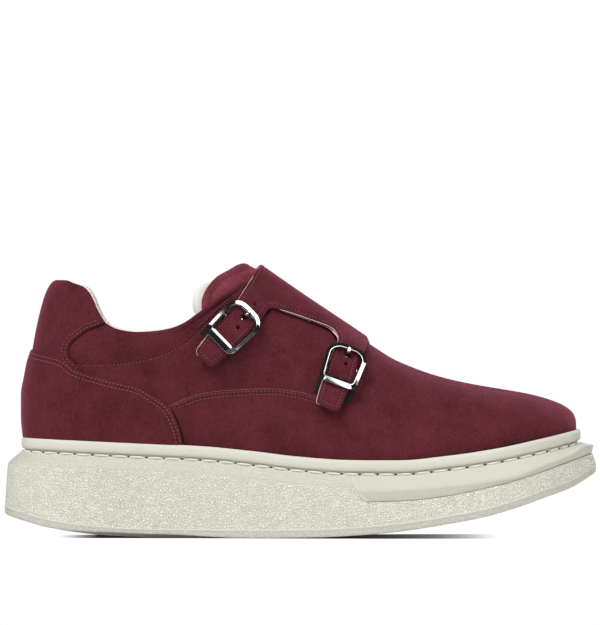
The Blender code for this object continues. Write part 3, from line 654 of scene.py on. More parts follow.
def rubber(name, color, pebble_depth=0.0, roughness=0.5, fine_depth=0.03):
    made, tree, shader = plain_material(name, color, roughness, {"Specular IOR Level": 0.4})
    finish = ramp(tree, noise(tree, 90.0, 4.0, 0.6), (0.3, shaded(color, 0.965)), (0.6, color))
    normal = bump(tree, noise(tree, 2200.0, 2.0, 0.6), fine_depth * MM, 0.6)
    if pebble_depth:
        pebbles = use_group(tree, PEBBLES, {"Scale": 720.0})
        # painted shade: the valleys between the pebbles take a darker cream
        finish = mix_color(tree, pebbles["Valley"], finish, shaded(color, 0.83))
        normal = bump(tree, pebbles["Height"], pebble_depth * MM, 1.0, Normal=normal)
    feed(tree, shader.inputs["Base Color"], finish)
    feed(tree, shader.inputs["Normal"], normal)
    return made


rubber_smooth = rubber("rubber_smooth", CREAM)
rubber_of_the_bumper_painted_shade = rubber("rubber_of_the_bumper_painted_shade", CREAM_OF_THE_BUMPER_PAINTED_DARKER)
rubber_pebbled = rubber("rubber_pebbled", CREAM_OF_THE_WALL_PAINTED_LIGHTER, 0.50, 0.42)
rubber_soft_pebbled = rubber("rubber_soft_pebbled", CREAM_PAINTED_SLIGHTLY_DARKER, 0.14, 0.46)
rubber_tread_painted_shade = rubber("rubber_tread_painted_shade", CREAM_OF_THE_TREAD_PAINTED_SHADE, 0.0, 0.65, 0.08)
print("rubber finishes: smooth, bumper, pebbled, softly pebbled, tread")

# %% [markdown]
# ## The sole's outline
# Every line that runs round the sole has the same family of plan curves.  A share of 0 is the
# feather line, where the upper enters, and a share of 1 is the foot of the sole, some millimetres
# further out.  The heights of the underside and of the toe bumper's two lines come from a table,
# and the underside is lifted at both ends so that the shoe rolls.

# %% Lines round the sole
SOLE = Table(
    "x ground ridge line",
    (-152.5, 11.5, 24.0, 19.0), (-142, 8.4, 24.0, 19.0), (-130, 5.3, 24.0, 19.0), (-115, 2.9, 24.0, 19.0),
    (-98, 1.2, 24.0, 19.0), (-72, 0.2, 24.0, 19.0), (-20, 0.0, 24.0, 19.0), (10, 0.5, 24.1, 19.0),
    (35, 2.0, 24.4, 18.9), (52, 3.7, 25.0, 19.3), (72, 6.8, 26.6, 21.4), (92, 10.5, 28.8, 25.2),
    (108, 14.8, 31.6, 29.0), (124, 20.2, 37.4, 34.0), (140, 26.0, 43.2, 39.8), (143.5, 27.9, 45.5, 40.9),
    (147.5, 30.2, 47.0, 42.1), (152.5, 33.0, 47.3, 43.3))
SOLE_REACH = CAD_BOX[1].x / MM
SOLE_MARGIN = 7.5
WELT_HEIGHT = 6.0
STATION_STEP = 1.2
HEEL_BACK = float(HEEL.read("back", 50))


def ground(x):
    return SOLE.read("ground", x)


def ridge(x):
    return SOLE.read("ridge", x)


def line(x):
    return SOLE.read("line", x)


def raised(base, rise):
    """The same line of heights, raised."""
    return lambda x: base(x) + rise


def round_line(station, side, beside, behind, before, height):
    """A line round the sole, these distances outside the feather line; height is a function of X."""
    x, y = plan_point(station, side, lambda x: half_at(x, side) + beside, HEEL_BACK + behind, UPPER_TIP + before)
    return np.stack([x, y, height(x)], -1)


def sole_line(station, side, share, height):
    return round_line(station, side, share * SOLE_MARGIN, share * (SOLE_REACH - HEEL_BACK),
                      share * (SOLE_REACH - UPPER_TIP), height)


def edge_line(station, side, out, height):
    return round_line(station, side, out, out, out, height)


def out_and_back(walk, to_start=True):
    """Stations and sides along the outer side of the foot and back along the inner side."""
    back = walk[-2::-1] if to_start else walk[-2:0:-1]
    return np.concatenate([walk, back]), np.repeat((-1.0, 1.0), (len(walk), len(back)))


def whole_round(step, extra=()):
    """Stations and sides all the way round, starting behind the heel."""
    walk = np.concatenate([np.arange(BACK_STATION, TIP_STATION, step), extra, [TIP_STATION]])
    return out_and_back(np.unique(np.round(walk, 3)), to_start=False)


def across_sheet(border, parts, lift=None):
    """A sheet that fills a whole-round line with rungs from side to side, and its faces."""
    turn = len(border) // 2
    outer = border[:turn + 1]
    inner = np.concatenate([border[:1], border[:turn - 1:-1]])
    share = np.linspace(0, 1, parts + 1)[None, :, None]
    points = outer[:, None] * (1 - share) + inner[:, None] * share
    if lift is not None:
        points[:, 1:-1, 2] += lift(points[:, 1:-1, 0], points[:, 1:-1, 1])
    return points.reshape(-1, 3), grid_faces(turn + 1, parts + 1)


station, side = whole_round(STATION_STEP)
print("points in one line round the sole:", len(station))

# %% [markdown]
# ## Outsole
# The outsole is the thin layer that meets the ground.  Its edge ends in a small raised bead where
# the pebbled wall starts, and its underside has a shallow tread.  Under the heel a rebate keeps the
# foot of the edge off the ground, and its faces take the dark tread rubber, painted shade; together
# they give the shoe its dark line there.  The edge is a grid of lines round the sole, and the
# underside a sheet of rungs whose points are pushed up where the tread's zigzag grooves run, which
# needs no cutting.

# %% Outsole
EDGE_LINES = (
    # share, height over the underside, share of the rebate
    (0.20, 0.0, 0.0), (0.23, 0.05, 0.1), (0.26, 0.1, 0.9), (0.30, 0.15, 1.0), (0.90, 0.15, 1.0), (0.97, 0.35, 1.0),
    (0.99, 0.7, 1.0), (1.0, 1.3, 0.95), (1.0, 2.4, 0.6), (1.0, 3.6, 0.1), (1.02, 3.9, 0.0), (1.03, 4.15, 0.0),
    (1.025, 4.4, 0.0), (1.0, 4.55, 0.0), (0.90, 4.6, 0.0),
)
REBATE_DEPTH = 1.7
GROOVE_PITCH = 7.0
GROOVE_DEPTH = 1.3


def foot_height(rise, part):
    """Height of a line of the edge, with its part of the rebate under the heel."""
    return lambda x: ground(x) + rise + part * (
        REBATE_DEPTH * blend_in(x, -128, -94) * (1 - blend_in(x, -75, -28)))


def tread(x, y):
    """How far the underside is pushed up: zigzag grooves inside a plain border."""
    zigzag = 2.2 * np.abs((y / 9.0) % 2 - 1)
    wave = np.abs(((x + 3 * zigzag) / GROOVE_PITCH) % 1 - 0.5) * 2
    near = half_at(x, np.where(y < 0, -1, 1)) - np.abs(y - last("spine", x))
    ends = np.minimum(x + SOLE_REACH, SOLE_REACH - x)
    inside = blend_in(near, 4.0, 6.0) * blend_in(ends, 14.0, 18.0)
    waist = blend_in(np.abs(x + 30), 14, 22)
    return GROOVE_DEPTH * blend_in(wave, 0.62, 0.80) * inside * waist


edge = np.stack([sole_line(station, side, share, foot_height(rise, part)) for share, rise, part in EDGE_LINES], 1)
# The first four lines of the edge, in the rebate, take the darker cream of the tread: painted shade.
make_piece("sole_bottom", *join_parts(
    (edge, grid_faces(len(station), len(EDGE_LINES), around=True)),
    across_sheet(edge[:, 0], 72, tread), across_sheet(edge[:, -1], 6)),
    [rubber_tread_painted_shade, rubber_soft_pebbled, rubber_smooth], "sole_rubber", ["outsole"],
    part=([0] * 4 + [1] * 5 + [2] * 5) * len(station))

# %% [markdown]
# ## Cup wall
# Over the outsole stands a cup of pebbled rubber that leans in a little, and over it a smoother
# shoulder slopes in to the groove where the upper is stitched down.  Towards the toe a smooth bumper
# is let into the wall, so there the wall steps in under it.  Each line of the wall has two places,
# one behind and one under the bumper, and changes from one to the other within a millimetre, later
# for the lower lines, because the bumper's end is cut at a slant.

# %% Cup wall
BUMPER_END = Table("height start", (18.4, 34.0), (20.8, 30.6), (26.4, 26.9), (31.6, 24.8))
BUMPER_X = 28.0             # heights are compared here, near the bumper's end
WALL_FOOT = 4.4
WALL_ROWS = 24
SHOULDER = (
    # share and drop below the feather line behind the bumper; share and rise over its foot under it
    ((0.872, 15.2), (0.84, -0.35)), ((0.855, 14.2), (0.82, -0.18)), ((0.828, 13.4), (0.74, -0.15)),
    ((0.790, 12.75), (0.60, -0.15)), ((0.66, 11.5), (0.42, -0.15)), ((0.52, 10.2), (0.34, 0.3)),
    ((0.38, 8.95), (0.28, 0.9)), ((0.27, 8.0), (0.24, 1.5)),
)
GROOVE = ((0.215, 7.55), (0.18, 7.5), (0.13, 7.5), (0.09, 7.3), (0.06, 6.8), (0.04, 6.0))


def bumper_start(height):
    """Where the bumper's slanted end stands at a height over the ground."""
    return float(BUMPER_END.read("start", height))


def between(low, high, share):
    return lambda x: low(x) * (1 - share) + high(x) * share


def cup_line(share, height, under_share, under_height):
    """A line of the cup wall, with its place behind the bumper and under it."""
    start = bumper_start(float(height(np.array(BUMPER_X))))
    weight = blend_in(station, start + 0.5, start + 1.2)
    return sole_line(station, side, share * (1 - weight) + under_share * weight,
                     between(height, under_height, weight))


def cup_lines():
    foot = raised(ground, WALL_FOOT)
    for up in np.arange(WALL_ROWS + 1) / WALL_ROWS:
        yield cup_line(0.995 - 0.115 * up ** 1.15, between(foot, raised(feather, -16.0), up),
                       0.995 - 0.145 * up ** 1.15, between(foot, raised(line, -0.7), up))
    for (share, drop), (under_share, rise) in SHOULDER:
        yield cup_line(share, raised(feather, -drop), under_share, raised(line, rise))
    for share, drop in GROOVE:
        yield sole_line(station, side, share, raised(feather, -drop))


station, side = whole_round(STATION_STEP, np.arange(23, 38, 0.2))
cup = np.stack(list(cup_lines()), 1)
# The pebbled wall rows take the paler cream, painted light; the shoulder rows take the slightly darker one, painted
# shade.
make_piece("cup_wall", *join_parts(
    (cup, grid_faces(len(station), cup.shape[1], around=True)),
    across_sheet(cup[:, -1], 6), across_sheet(cup[:, 0], 6)),
    [rubber_smooth, rubber_pebbled, rubber_soft_pebbled], "sole_rubber", ["midsole"],
    part=([1] * (WALL_ROWS + 2) + [2] * (len(SHOULDER) - 2) + [0] * len(GROOVE)) * len(station))

# %% [markdown]
# ## Toe bumper
# The bumper is a smooth band round the toe, let into the wall.  Its face is flush with the shoulder
# from the stitches down to a rounded ridge, and under the ridge it slopes back in to a dark line.
# It is a closed ring swept round the toe.  Each line of its profile starts at its own place, which
# slants the two ends, and over the first millimetres the face rises to the wall, which softens them.

# %% Toe bumper
def under_stitches(x):
    """The upper edge of the bumper, a little higher at the very tip."""
    return feather(x) - 7.95 + 0.9 * blend_in(x, 141, 146)


def face(share):
    """A height on the bumper's face: this share of the way from the ridge up to the groove."""
    return between(ridge, under_stitches, share)


BUMPER_PROFILE = (
    # share, reference line, height over it
    (0.24, feather, -9.2), (0.24, under_stitches, 0.05), (0.28, under_stitches, 0.2), (0.34, under_stitches, 0.0),
    (0.50, face(0.60), 0.0), (0.66, face(0.37), 0.0), (0.78, face(0.17), 0.0), (0.83, face(0.08), 0.0),
    (0.865, ridge, -0.15), (0.872, ridge, -0.7), (0.855, ridge, -1.3),
    (0.845, line, 2.2), (0.81, line, 0.9), (0.785, line, 0.25), (0.765, line, 0.02), (0.70, line, -0.05),
    (0.47, line, 0.0), (0.40, line, 1.0),
)
FACE_OF_PROFILE = range(2, 15)
WALL_SHARES, WALL_HEIGHTS = np.array(
    [(0.995 - 0.115 * up ** 1.15, 6.0 * (1 - up) + 24.05 * up) for up in np.linspace(0, 1, 12)]
    + [(share, 40.05 - drop) for (share, drop), _ in SHOULDER]).T
BUMPER_STEPS = np.concatenate([
    [0, 0.0009, 0.0018, 0.0028], np.linspace(0.004, 0.024, 11), np.linspace(0.03, 1, 150)])


def bumper_line(number, share, base, rise):
    """One line of the bumper from one end round the toe to the other."""
    start = bumper_start(float(base(np.array(BUMPER_X + 1.0))) + rise)
    stations, sides = out_and_back(start + (TIP_STATION - start) * BUMPER_STEPS)
    if number in FACE_OF_PROFILE:
        beyond = stations - start
        height = float(base(np.array(BUMPER_X)) + rise)
        level = np.interp(height, WALL_HEIGHTS, WALL_SHARES) + 0.018 - 0.034 * (1 - blend_in(beyond, 0.0, 0.5))
        share = share + (level - share) * (1 - blend_in(beyond, 0.6, 2.8))
    return sole_line(stations, sides, share, raised(base, rise))


ring = np.stack([bumper_line(i, *row) for i, row in enumerate(BUMPER_PROFILE)], 1)
# The bumper's darker cream is painted shade.
make_piece("toe_bumper_band", ring, tube_faces(*ring.shape[:2]), [rubber_of_the_bumper_painted_shade], "sole_rubber",
           ["toe_bumper"])

# %% [markdown]
# ## Welt
# A rounded bead of rubber covers the line where the suede enters the cup.  It is one closed ring
# with a softly rounded face and a tight upper edge against the suede.

# %% Welt
WELT_PROUD = 2.3


def bead_profile():
    """(out, drop) round the bead's section, from inside over the top and down the face."""
    yield from ((0.1, -1.4), (0.15, -0.35))
    for i in range(15):
        turn = radians(100 - 200 * i / 14)
        out = 0.35 + (WELT_PROUD - 0.35) * max(cos(turn), 0.0) ** 0.62
        yield out, -WELT_HEIGHT / 2 + (WELT_HEIGHT / 2) * np.sign(sin(turn)) * abs(sin(turn)) ** 0.8
    yield 0.25, -WELT_HEIGHT + 0.2


station, side = whole_round(STATION_STEP)
bead = np.stack([edge_line(station, side, out, raised(feather, drop)) for out, drop in bead_profile()], 1)
make_piece("welt_bead", bead, grid_faces(*bead.shape[:2], around=True, wrap=True), [rubber_smooth],
           "sole_rubber", ["welt"])

# %% [markdown]
# ## Stitches
# Every seam on the shoe is made by one function.  It walks along a line of points, and wherever a
# stitch begins it puts down a small capsule of thread that rises out of the material, arches a
# little and goes back in.  Chance makes each stitch a little longer or shorter.  All stitches of a
# seam are one mesh.

# %% Thread and stitches
def thread(name, color, roughness=0.75):
    """Twisted thread: fine clouds give it its lay."""
    return two_toned(name, roughness, clouds(3500.0, 2.0), shaded(color, 0.8), color, (0.35, 0.6), 0.08, 0.7)


cream_thread = thread("cream_thread", (0.80, 0.79, 0.72), 0.6)
rose_thread = thread("rose_thread", (0.27, 0.095, 0.115))
wine_thread = thread("wine_thread", (0.21, 0.066, 0.082))
# Painted shade: needle holes are near black, standing in for the shade inside each hole.
needle_hole_painted_shade = two_toned("needle_hole_painted_shade", 0.9, clouds(800.0, 2.0), (0.02, 0.017, 0.015), (0.05, 0.045, 0.04),
                        (0.3, 0.7), 0.02, 0.5)
STITCH_SINK = 0.25          # share of its height by which the ends of a stitch go down


def walk_along(path, pitch):
    """Arc lengths of the path's points, and where the stitches begin."""
    lengths = lengths_along(path)
    count = max(int(round(lengths[-1] / pitch)), 1)
    return lengths, np.arange(count) * lengths[-1] / count, lengths[-1] / count


def at_length(path, lengths, where):
    return np.stack([np.interp(where, lengths, path[:, i]) for i in range(3)], -1)


def capsule_row(path, normals, pitch, length, width, height, rings, sides, arch=0.0, seed=3, phase=0.5):
    """A mesh of stitches along a path; normals point out of the material at its points."""
    lengths, starts, step = walk_along(path, pitch)
    chance = np.random.default_rng(seed)
    t = np.linspace(-1, 1, rings)
    thick = np.sqrt(np.maximum(1 - np.abs(t) ** 2.6, 0.02))
    rise = height / 2 + arch * (1 - t ** 2) - STITCH_SINK * t ** 4 * height
    stitches = []
    for begin in starts:
        middle = begin + step * phase + chance.uniform(-0.04, 0.04) * step
        where = middle + t / 2 * length * chance.uniform(0.93, 1.05)
        centre = at_length(path, lengths, where)
        up = unit(at_length(normals, lengths, where))
        ahead = np.gradient(centre, axis=0)
        ahead[~ahead.any(axis=1)] = centre[-1] - centre[0]      # rings beyond the end of the path
        aside = np.cross(unit(ahead), up)
        stitches.append((swept(centre + up * rise[:, None], aside, up, circle(sides), thick * width, thick * height),
                         tube_faces(rings, sides)))
    return join_parts(*stitches)


print("threads: cream, rose, wine")

# %% [markdown]
# ## The cup's seam
# The upper and the cup are sewn together in the groove under the bead.  The stitches are long and
# cream, and at both ends of each the needle leaves a hole: a small sunk oval, painted near black as
# painted shade inside the hole, laid square to the groove.

# %% The cup's seam
CUP_PITCH = 9.2
HOLE_SIZE = (1.5, 1.0)
HOLE_SIDES = 12
HOLE_RINGS = np.array(((0.25, 1.0), (0.35, 0.7), (0.30, 0.0)))     # height over the groove, share of the size

station, side = out_and_back(np.linspace(BACK_STATION, TIP_STATION, 700))
seam = sole_line(station, side, 0.17, raised(feather, -7.35))
outside = sole_line(station, side, 0.45, raised(feather, -6.9)) - seam
make_piece("cup_stitches",
           *capsule_row(seam, outside, CUP_PITCH, CUP_PITCH * 0.84, 1.05, 1.0, 11, 8, arch=0.25),
           [cream_thread], "sole_rubber")
lengths, starts, step = walk_along(seam, CUP_PITCH)
along = unit(at_length(seam, lengths, starts + 1) - at_length(seam, lengths, starts - 1))
out = at_length(outside, lengths, starts)
out = unit(out - along * (out * along).sum(1)[:, None])
holes = []
for spot, ahead, outwards in zip(at_length(seam, lengths, starts), along, out):
    lift, grow = HOLE_RINGS.T
    rings = swept(spot + outwards * lift[:, None], ahead, np.cross(ahead, outwards), circle(HOLE_SIDES),
                  HOLE_SIZE[0] * grow, HOLE_SIZE[1] * grow)
    holes.append((rings, flipped(grid_faces(len(HOLE_RINGS), HOLE_SIDES, wrap=True))))
make_piece("cup_needle_holes", *join_parts(*holes), [needle_hole_painted_shade], "sole_rubber", closed=False)
print("stitches in the cup:", len(starts))

# %% [markdown]
# ## Suede
# Suede is leather with its fibres brushed up.  It has almost no gloss.  Its colour shifts softly
# where the nap lies this way or that, and at grazing angles the standing fibres catch light, which
# is what the sheen of the Principled shader is for.  Where the leather is cut, its edge is paler;
# the cut edge here is paler still, partly a painted highlight where edges catch the light.

# %% Suede and cut edge
SUEDE_SHADER = {"Specular IOR Level": 0.05, "Sheen Weight": 0.26, "Sheen Roughness": 0.38,
                "Sheen Tint": (1.0, 0.26, 0.42)}


def suede(name, dark, light, cloud=55.0, fibre=1400.0, depth=0.26):
    def texture(tree):
        nap = use_group(tree, NAP, {"Cloud scale": cloud, "Fibre scale": fibre})
        return nap["Mottle"], nap["Height"]
    return two_toned(name, 0.95, texture, dark, light, (0.39, 0.61), depth, 0.8, SUEDE_SHADER)


burgundy_suede = suede("burgundy_suede", (0.053, 0.0118, 0.0146), (0.118, 0.0222, 0.0316))
# Partly the cut's real paler colour, partly painted highlight.
cut_edge_and_highlight = suede("cut_edge_and_highlight", (0.50, 0.35, 0.34), (0.66, 0.50, 0.48), 300.0, 2500.0, 0.08)
flesh_side = suede("flesh_side", (0.06, 0.012, 0.016), (0.10, 0.022, 0.03), 80.0, 1800.0)
print("suede, its cut edge and its flesh side")

# %% [markdown]
# ## Lining
# Inside, the shoe is lined with thin cream leather, which also covers the padded footbed.  Its grain
# is the same pebble effect as on the rubber, only finer, over a soft patina.

# %% Lining leather
LINING_LOW = (0.68, 0.66, 0.60)
LINING_HIGH = (0.84, 0.83, 0.78)

cream_lining, tree, shader = plain_material("cream_lining", LINING_HIGH, 0.6, {"Specular IOR Level": 0.3})
pebbles = use_group(tree, PEBBLES, {"Scale": 1500.0})
patina = ramp(tree, noise(tree, 40.0, 4.0), (0.35, shaded(LINING_HIGH, 0.93)), (0.65, LINING_HIGH))
# Painted shade: the creases between the pebbles take the darker LINING_LOW, as on the rubber.
feed(tree, shader.inputs["Base Color"], mix_color(tree, pebbles["Valley"], patina, LINING_LOW))
feed(tree, shader.inputs["Normal"], bump(tree, pebbles["Height"], 0.12 * MM, 0.7))
print("lining:", cream_lining.name)

# %% [markdown]
# ## Lines drawn on the upper
# The seams are drawn in side view, as a pattern maker draws them, with a few points each and a
# smooth curve through them.  Distances to these lines then shape the leather: it dips where a seam
# pulls it down, and swells where there is foam behind it.

# %% Curves and distances
def curve_through(points, step=1.0, closed=False):
    """A smooth curve through given points, with a point about every step."""
    points = np.asarray(points, float)
    if closed:
        run = np.vstack([points[-1:], points, points[:2]])
    else:
        run = np.vstack([2 * points[0] - points[1], points, 2 * points[-1] - points[-2]])
    curve = []
    for p0, p1, p2, p3 in zip(run, run[1:], run[2:], run[3:]):
        t1 = np.linalg.norm(p1 - p0) ** 0.5
        t2 = t1 + np.linalg.norm(p2 - p1) ** 0.5
        t3 = t2 + np.linalg.norm(p3 - p2) ** 0.5
        count = max(int(np.linalg.norm(p2 - p1) / step + 0.5), 1)
        t = (t1 + (t2 - t1) * np.arange(count) / count)[:, None]

        def mix(left, right, start, stop):
            return (stop - t) / (stop - start) * left + (t - start) / (stop - start) * right

        a1, a2, a3 = mix(p0, p1, 0, t1), mix(p1, p2, t1, t2), mix(p2, p3, t2, t3)
        curve.append(mix(mix(a1, a2, 0, t2), mix(a2, a3, t1, t3), t1, t2))
    if not closed:
        curve.append(points[-1:])
    return np.concatenate(curve)


def distance_to(x, z, path):
    """Distance in side view from points to an open path."""
    spots = np.stack([np.ravel(x), np.ravel(z)], -1)
    closest = np.full(len(spots), 1e9)
    for a, b in zip(path, path[1:]):
        run = b - a
        share = np.clip((spots - a) @ run / (run @ run), 0, 1)
        closest = np.minimum(closest, np.hypot(*(spots - a - share[:, None] * run).T))
    return closest.reshape(np.shape(x))


def is_inside(x, z, outline):
    """Which points lie inside a closed outline."""
    inside = np.zeros(np.shape(x), bool)
    for (x0, z0), (x1, z1) in zip(outline, np.roll(outline, -1, axis=0)):
        if z0 != z1:
            inside ^= ((z0 > z) != (z1 > z)) & (x < (x1 - x0) * (z - z0) / (z1 - z0) + x0)
    return inside


def waves_over(waves, along_and_across, shape):
    """Soft ridges and troughs; each wave gives its place, length, width and height."""
    total = np.zeros(shape)
    for *place, length, width, height in waves:
        along, across = along_and_across(*place)
        total = total + height * dent(along, length) * dent(across, width)
    return total


print("a curve through three points has", len(curve_through(((0, 0), (5, 2), (9, 0)))), "points")

# %% [markdown]
# ## Seam lines
# Four lines shape the upper.  The heel tab's front edge and the stitched lower border of the collar's
# padding meet in a corner and enclose the pad.  The cut edge of the vamp runs over the quarters, a
# little lower on the outer side than on the inner one.  Each is drawn with a few points.

# %% Seam lines in side view
PAD_SEAM = curve_through((
    (-96.0, 113.5), (-99.6, 110.1), (-106.0, 107.7), (-109.7, 106.2), (-113.8, 103.1), (-117.4, 100.0),
    (-118.9, 96.9), (-118.9, 94.3), (-117.9, 91.7), (-115.2, 89.0)))
PAD_STITCH = curve_through((
    (-115.2, 89.0), (-110.0, 88.3), (-103.5, 88.4), (-93.1, 88.9), (-77.7, 91.2), (-67.3, 94.8),
    (-57.0, 101.0), (-51.9, 105.7), (-44.1, 113.5), (-37.0, 121.0)))
PAD_OUTLINE = np.vstack([PAD_SEAM, PAD_STITCH, [(-30.0, 160.0), (-90.0, 160.0)]])
VAMP_EDGE = Table(
    "x outer inner",
    (-68, 67.5, 67.5), (-63, 69.6, 69.8), (-51.9, 73.7, 74.2), (-36.4, 75.7, 76.8), (-15.7, 76.5, 79.0),
    (-0.3, 74.7, 80.2), (10, 72.4, 83.5), (13, 77.0, 87.0), (17, 88.0, 92.5), (20, 97.0, 98.5),
    (23, 104.0, 104.0), (26, 106.5, 106.5))
VAMP_CLOSES = 26.0


def collar_top(x):
    return np.minimum(COLLAR.read("top", x), ridge_height(x, 0.0) - 2.0)


def below_top(x, z):
    """Distance from the collar's edge, measured square to it."""
    slope = collar_top(x + 0.5) - collar_top(x - 0.5)
    return (collar_top(x) - z) / np.sqrt(1 + slope ** 2)


def vamp_edge(x, side):
    return np.where(side < 0, VAMP_EDGE.read("outer", x), VAMP_EDGE.read("inner", x))


print("seam lines:", len(PAD_SEAM), len(PAD_STITCH))

# %% [markdown]
# ## Relief of the quarters
# The quarters are the back half of the upper: one piece of suede from the inside of the throat, round
# the heel and back.  Behind the throat its edge is padded with foam, at the notch the padding slips
# under the heel tab, and below it the suede is pulled under the vamp.  All of this is one function
# that says how far the suede stands outside the last.  A few waves soften the sides where the heel
# stiffener ends and the foot would bend.

# %% Thickness and relief of the quarters
WALL = 2.2
COLLAR_PAD = 3.2
PAD_SWELL = 1.7
TAB_HEIGHT = 0.75
UNDER_VAMP = 0.9
QUARTER_WAVES = (
    # x, z, lean, length, width, height
    (-84.0, 84.0, 1.25, 20.0 / 1.5, 4.5, 0.30),
    (-74.0, 80.0, 1.25, 22.0 / 1.5, 4.0, -0.30),
    (-34.0, 92.0, 0.9, 20.0 / 1.5, 6.0, 0.25),
)


def wall_at(x, z):
    near = blend_in(z - collar_top(x), -22, -12)
    return WALL + COLLAR_PAD * near * blend_in(-58 - x, 0, 14)


def quarter_relief(x, z, side):
    """How far the suede of the quarters stands outside the last."""
    def turned(x0, z0, lean):
        return (x - x0) * cos(lean) + (z - z0) * sin(lean), (z - z0) * cos(lean) - (x - x0) * sin(lean)

    inside = is_inside(x, z, PAD_OUTLINE)
    to_seam = distance_to(x, z, PAD_SEAM)
    to_stitch = distance_to(x, z, PAD_STITCH)
    swell = PAD_SWELL * blend_in(np.minimum(to_seam, to_stitch), 0, 8.5) * inside
    tab = TAB_HEIGHT * blend_in(to_seam, 0.1, 0.8) * (1 - blend_in(to_seam, 7, 16)) * ~inside * blend_in(z, 84, 90)
    edge = below_top(x, z)
    roll = blend_in(x, -70, -58) * (0.55 * dent(edge - 1.2, 1.2) - 0.5 * dent(edge - 2.9, 0.55))
    under_vamp = blend_in(x, -80, -68) * (1 - blend_in(z - vamp_edge(x, side), 1, 15))
    pull = 1.1 * dent(to_seam, 0.45) + 0.55 * dent(to_stitch, 0.6)
    return swell + tab + roll - pull - UNDER_VAMP * under_vamp + waves_over(QUARTER_WAVES, turned, np.shape(x))


def on_quarters(station, z, side):
    x = on_last(station, z, side, 0.0)[..., 0]
    return on_last(station, z, side, quarter_relief(x, z, side))


print("relief of the pad:", round(float(quarter_relief(np.array(-90.0), np.array(100.0), -1)), 2), "mm")

# %% [markdown]
# ## Skin of the quarters
# The mesh is one skin.  Its columns follow the shoe round the heel.  Its rows climb from under the
# welt to the edge, turn over the edge in two quarter circles, a tight one in suede and a wide one as
# thick as wall and padding, and go down inside as the lining.

# %% The quarters' skin
THROAT_FRONT = 20.0
OUTER_ROWS = 118
INNER_ROWS = 26
RIM_ROWS = 14
RIM_OUTSIDE = 5             # rows of the rim that are suede
RIM_RADIUS = 1.2
RIM_DROP = 3.2


def top_of_column(station, side):
    """Height of the collar's edge at a station, found by walking up to it."""
    z = np.full(len(station), 110.0)
    for _ in range(14):
        z = (z + collar_top(on_last(station, z, side, 0.0)[:, 0])) / 2
    return z


def quarter_rows():
    walk = np.concatenate([np.arange(BACK_STATION, -132, 1.2), np.arange(-132, -94, 0.55),
                           np.arange(-94, -20, 1.1), np.linspace(-20, THROAT_FRONT, 30)])
    station, side = out_and_back(walk[::-1])
    top = top_of_column(station, side)
    x_top = on_last(station, top, side, 0.0)[:, 0]
    low = feather(x_top) - WELT_HEIGHT + 0.5
    crown = top - RIM_RADIUS
    for share in np.arange(OUTER_ROWS + 1) / OUTER_ROWS:
        yield on_quarters(station, low + (crown - low) * (share * 1.45 - 0.45 * share ** 2.2), side)
    lip = quarter_relief(x_top, crown, side)
    for turn in pi / 2 * np.arange(1, RIM_OUTSIDE + 1) / RIM_OUTSIDE:
        yield on_last(station, crown + sin(turn) * RIM_RADIUS, side, lip - RIM_RADIUS * (1 - cos(turn)))
    puff = 0.8 * blend_in(x_top, -120, -112) * (1 - blend_in(x_top, -58, -50))
    thick = wall_at(x_top, top) - RIM_RADIUS
    for turn in pi / 2 * np.arange(1, RIM_ROWS - RIM_OUTSIDE) / (RIM_ROWS - RIM_OUTSIDE):
        z = top - RIM_DROP * (1 - cos(turn)) + puff * np.sin(np.minimum(turn * 2.2, pi))
        yield on_last(station, z, side, lip - RIM_RADIUS - thick * sin(turn))
    bottom = top - RIM_DROP
    for share in np.arange(INNER_ROWS + 1) / INNER_ROWS:
        z = bottom + (low + 1.0 - bottom) * share ** 1.2
        x = on_last(station, z, side, 0.0)[:, 0]
        yield on_last(station, z, side, lip * (1 - blend_in(bottom - z, 0, 6)) - wall_at(x, z))


skin = np.stack(list(quarter_rows()), 1)
outside_rows = OUTER_ROWS + RIM_OUTSIDE
make_piece("quarters", skin, grid_faces(*skin.shape[:2]), [burgundy_suede, cream_lining], "suede", ["upper"],
           part=([0] * outside_rows + [1] * (skin.shape[1] - 1 - outside_rows)) * (len(skin) - 1),
           closed=False, crease=60)

# %% [markdown]
# ## Vamp
# The vamp covers the toe and the sides as far back as the heel counter, and its cut edge lies on top
# of the quarters.  Behind the instep its rows end at that edge and in front of it they run on to the
# ridge, where both halves meet.  The last rows are close together and roll down over the edge.  Soft
# waves over the toe joint and beside the tongue show where it will bend.

# %% The vamp's skin
LIP_ROWS = (
    # distance below the edge, height over the quarters there
    (2.2, 0.90), (1.5, 0.90), (0.9, 0.88), (0.5, 0.78), (0.2, 0.58), (0.05, 0.30), (0.0, -0.10),
)
LIP_DEPTH = LIP_ROWS[0][0]
VAMP_ROWS = 84
VAMP_THICKNESS = 0.9
TURN_TO_MM = 50.0           # millimetres of vamp for a turn of one radian round the toe joint
VAMP_WAVES = (
    # x, turn from the ridge in radians, lean, length, width, height
    (46.0, -0.55, 0.25, 16.0, 5.0, -0.40), (55.0, -0.62, 0.30, 18.0, 5.5, 0.30),
    (64.0, -0.15, 0.10, 20.0, 7.0, -0.22), (48.0, 0.50, -0.25, 16.0, 5.0, -0.35),
    (57.0, 0.60, -0.30, 18.0, 5.5, 0.28),
)


def both_halves(half):
    """The outer and the inner half of a skin; half(hand) gives the grid of one of them."""
    outer, inner = half(-1.0), half(1.0)
    faces = grid_faces(*outer.shape[:2])
    return join_parts((outer, faces), (inner, flipped(faces)))


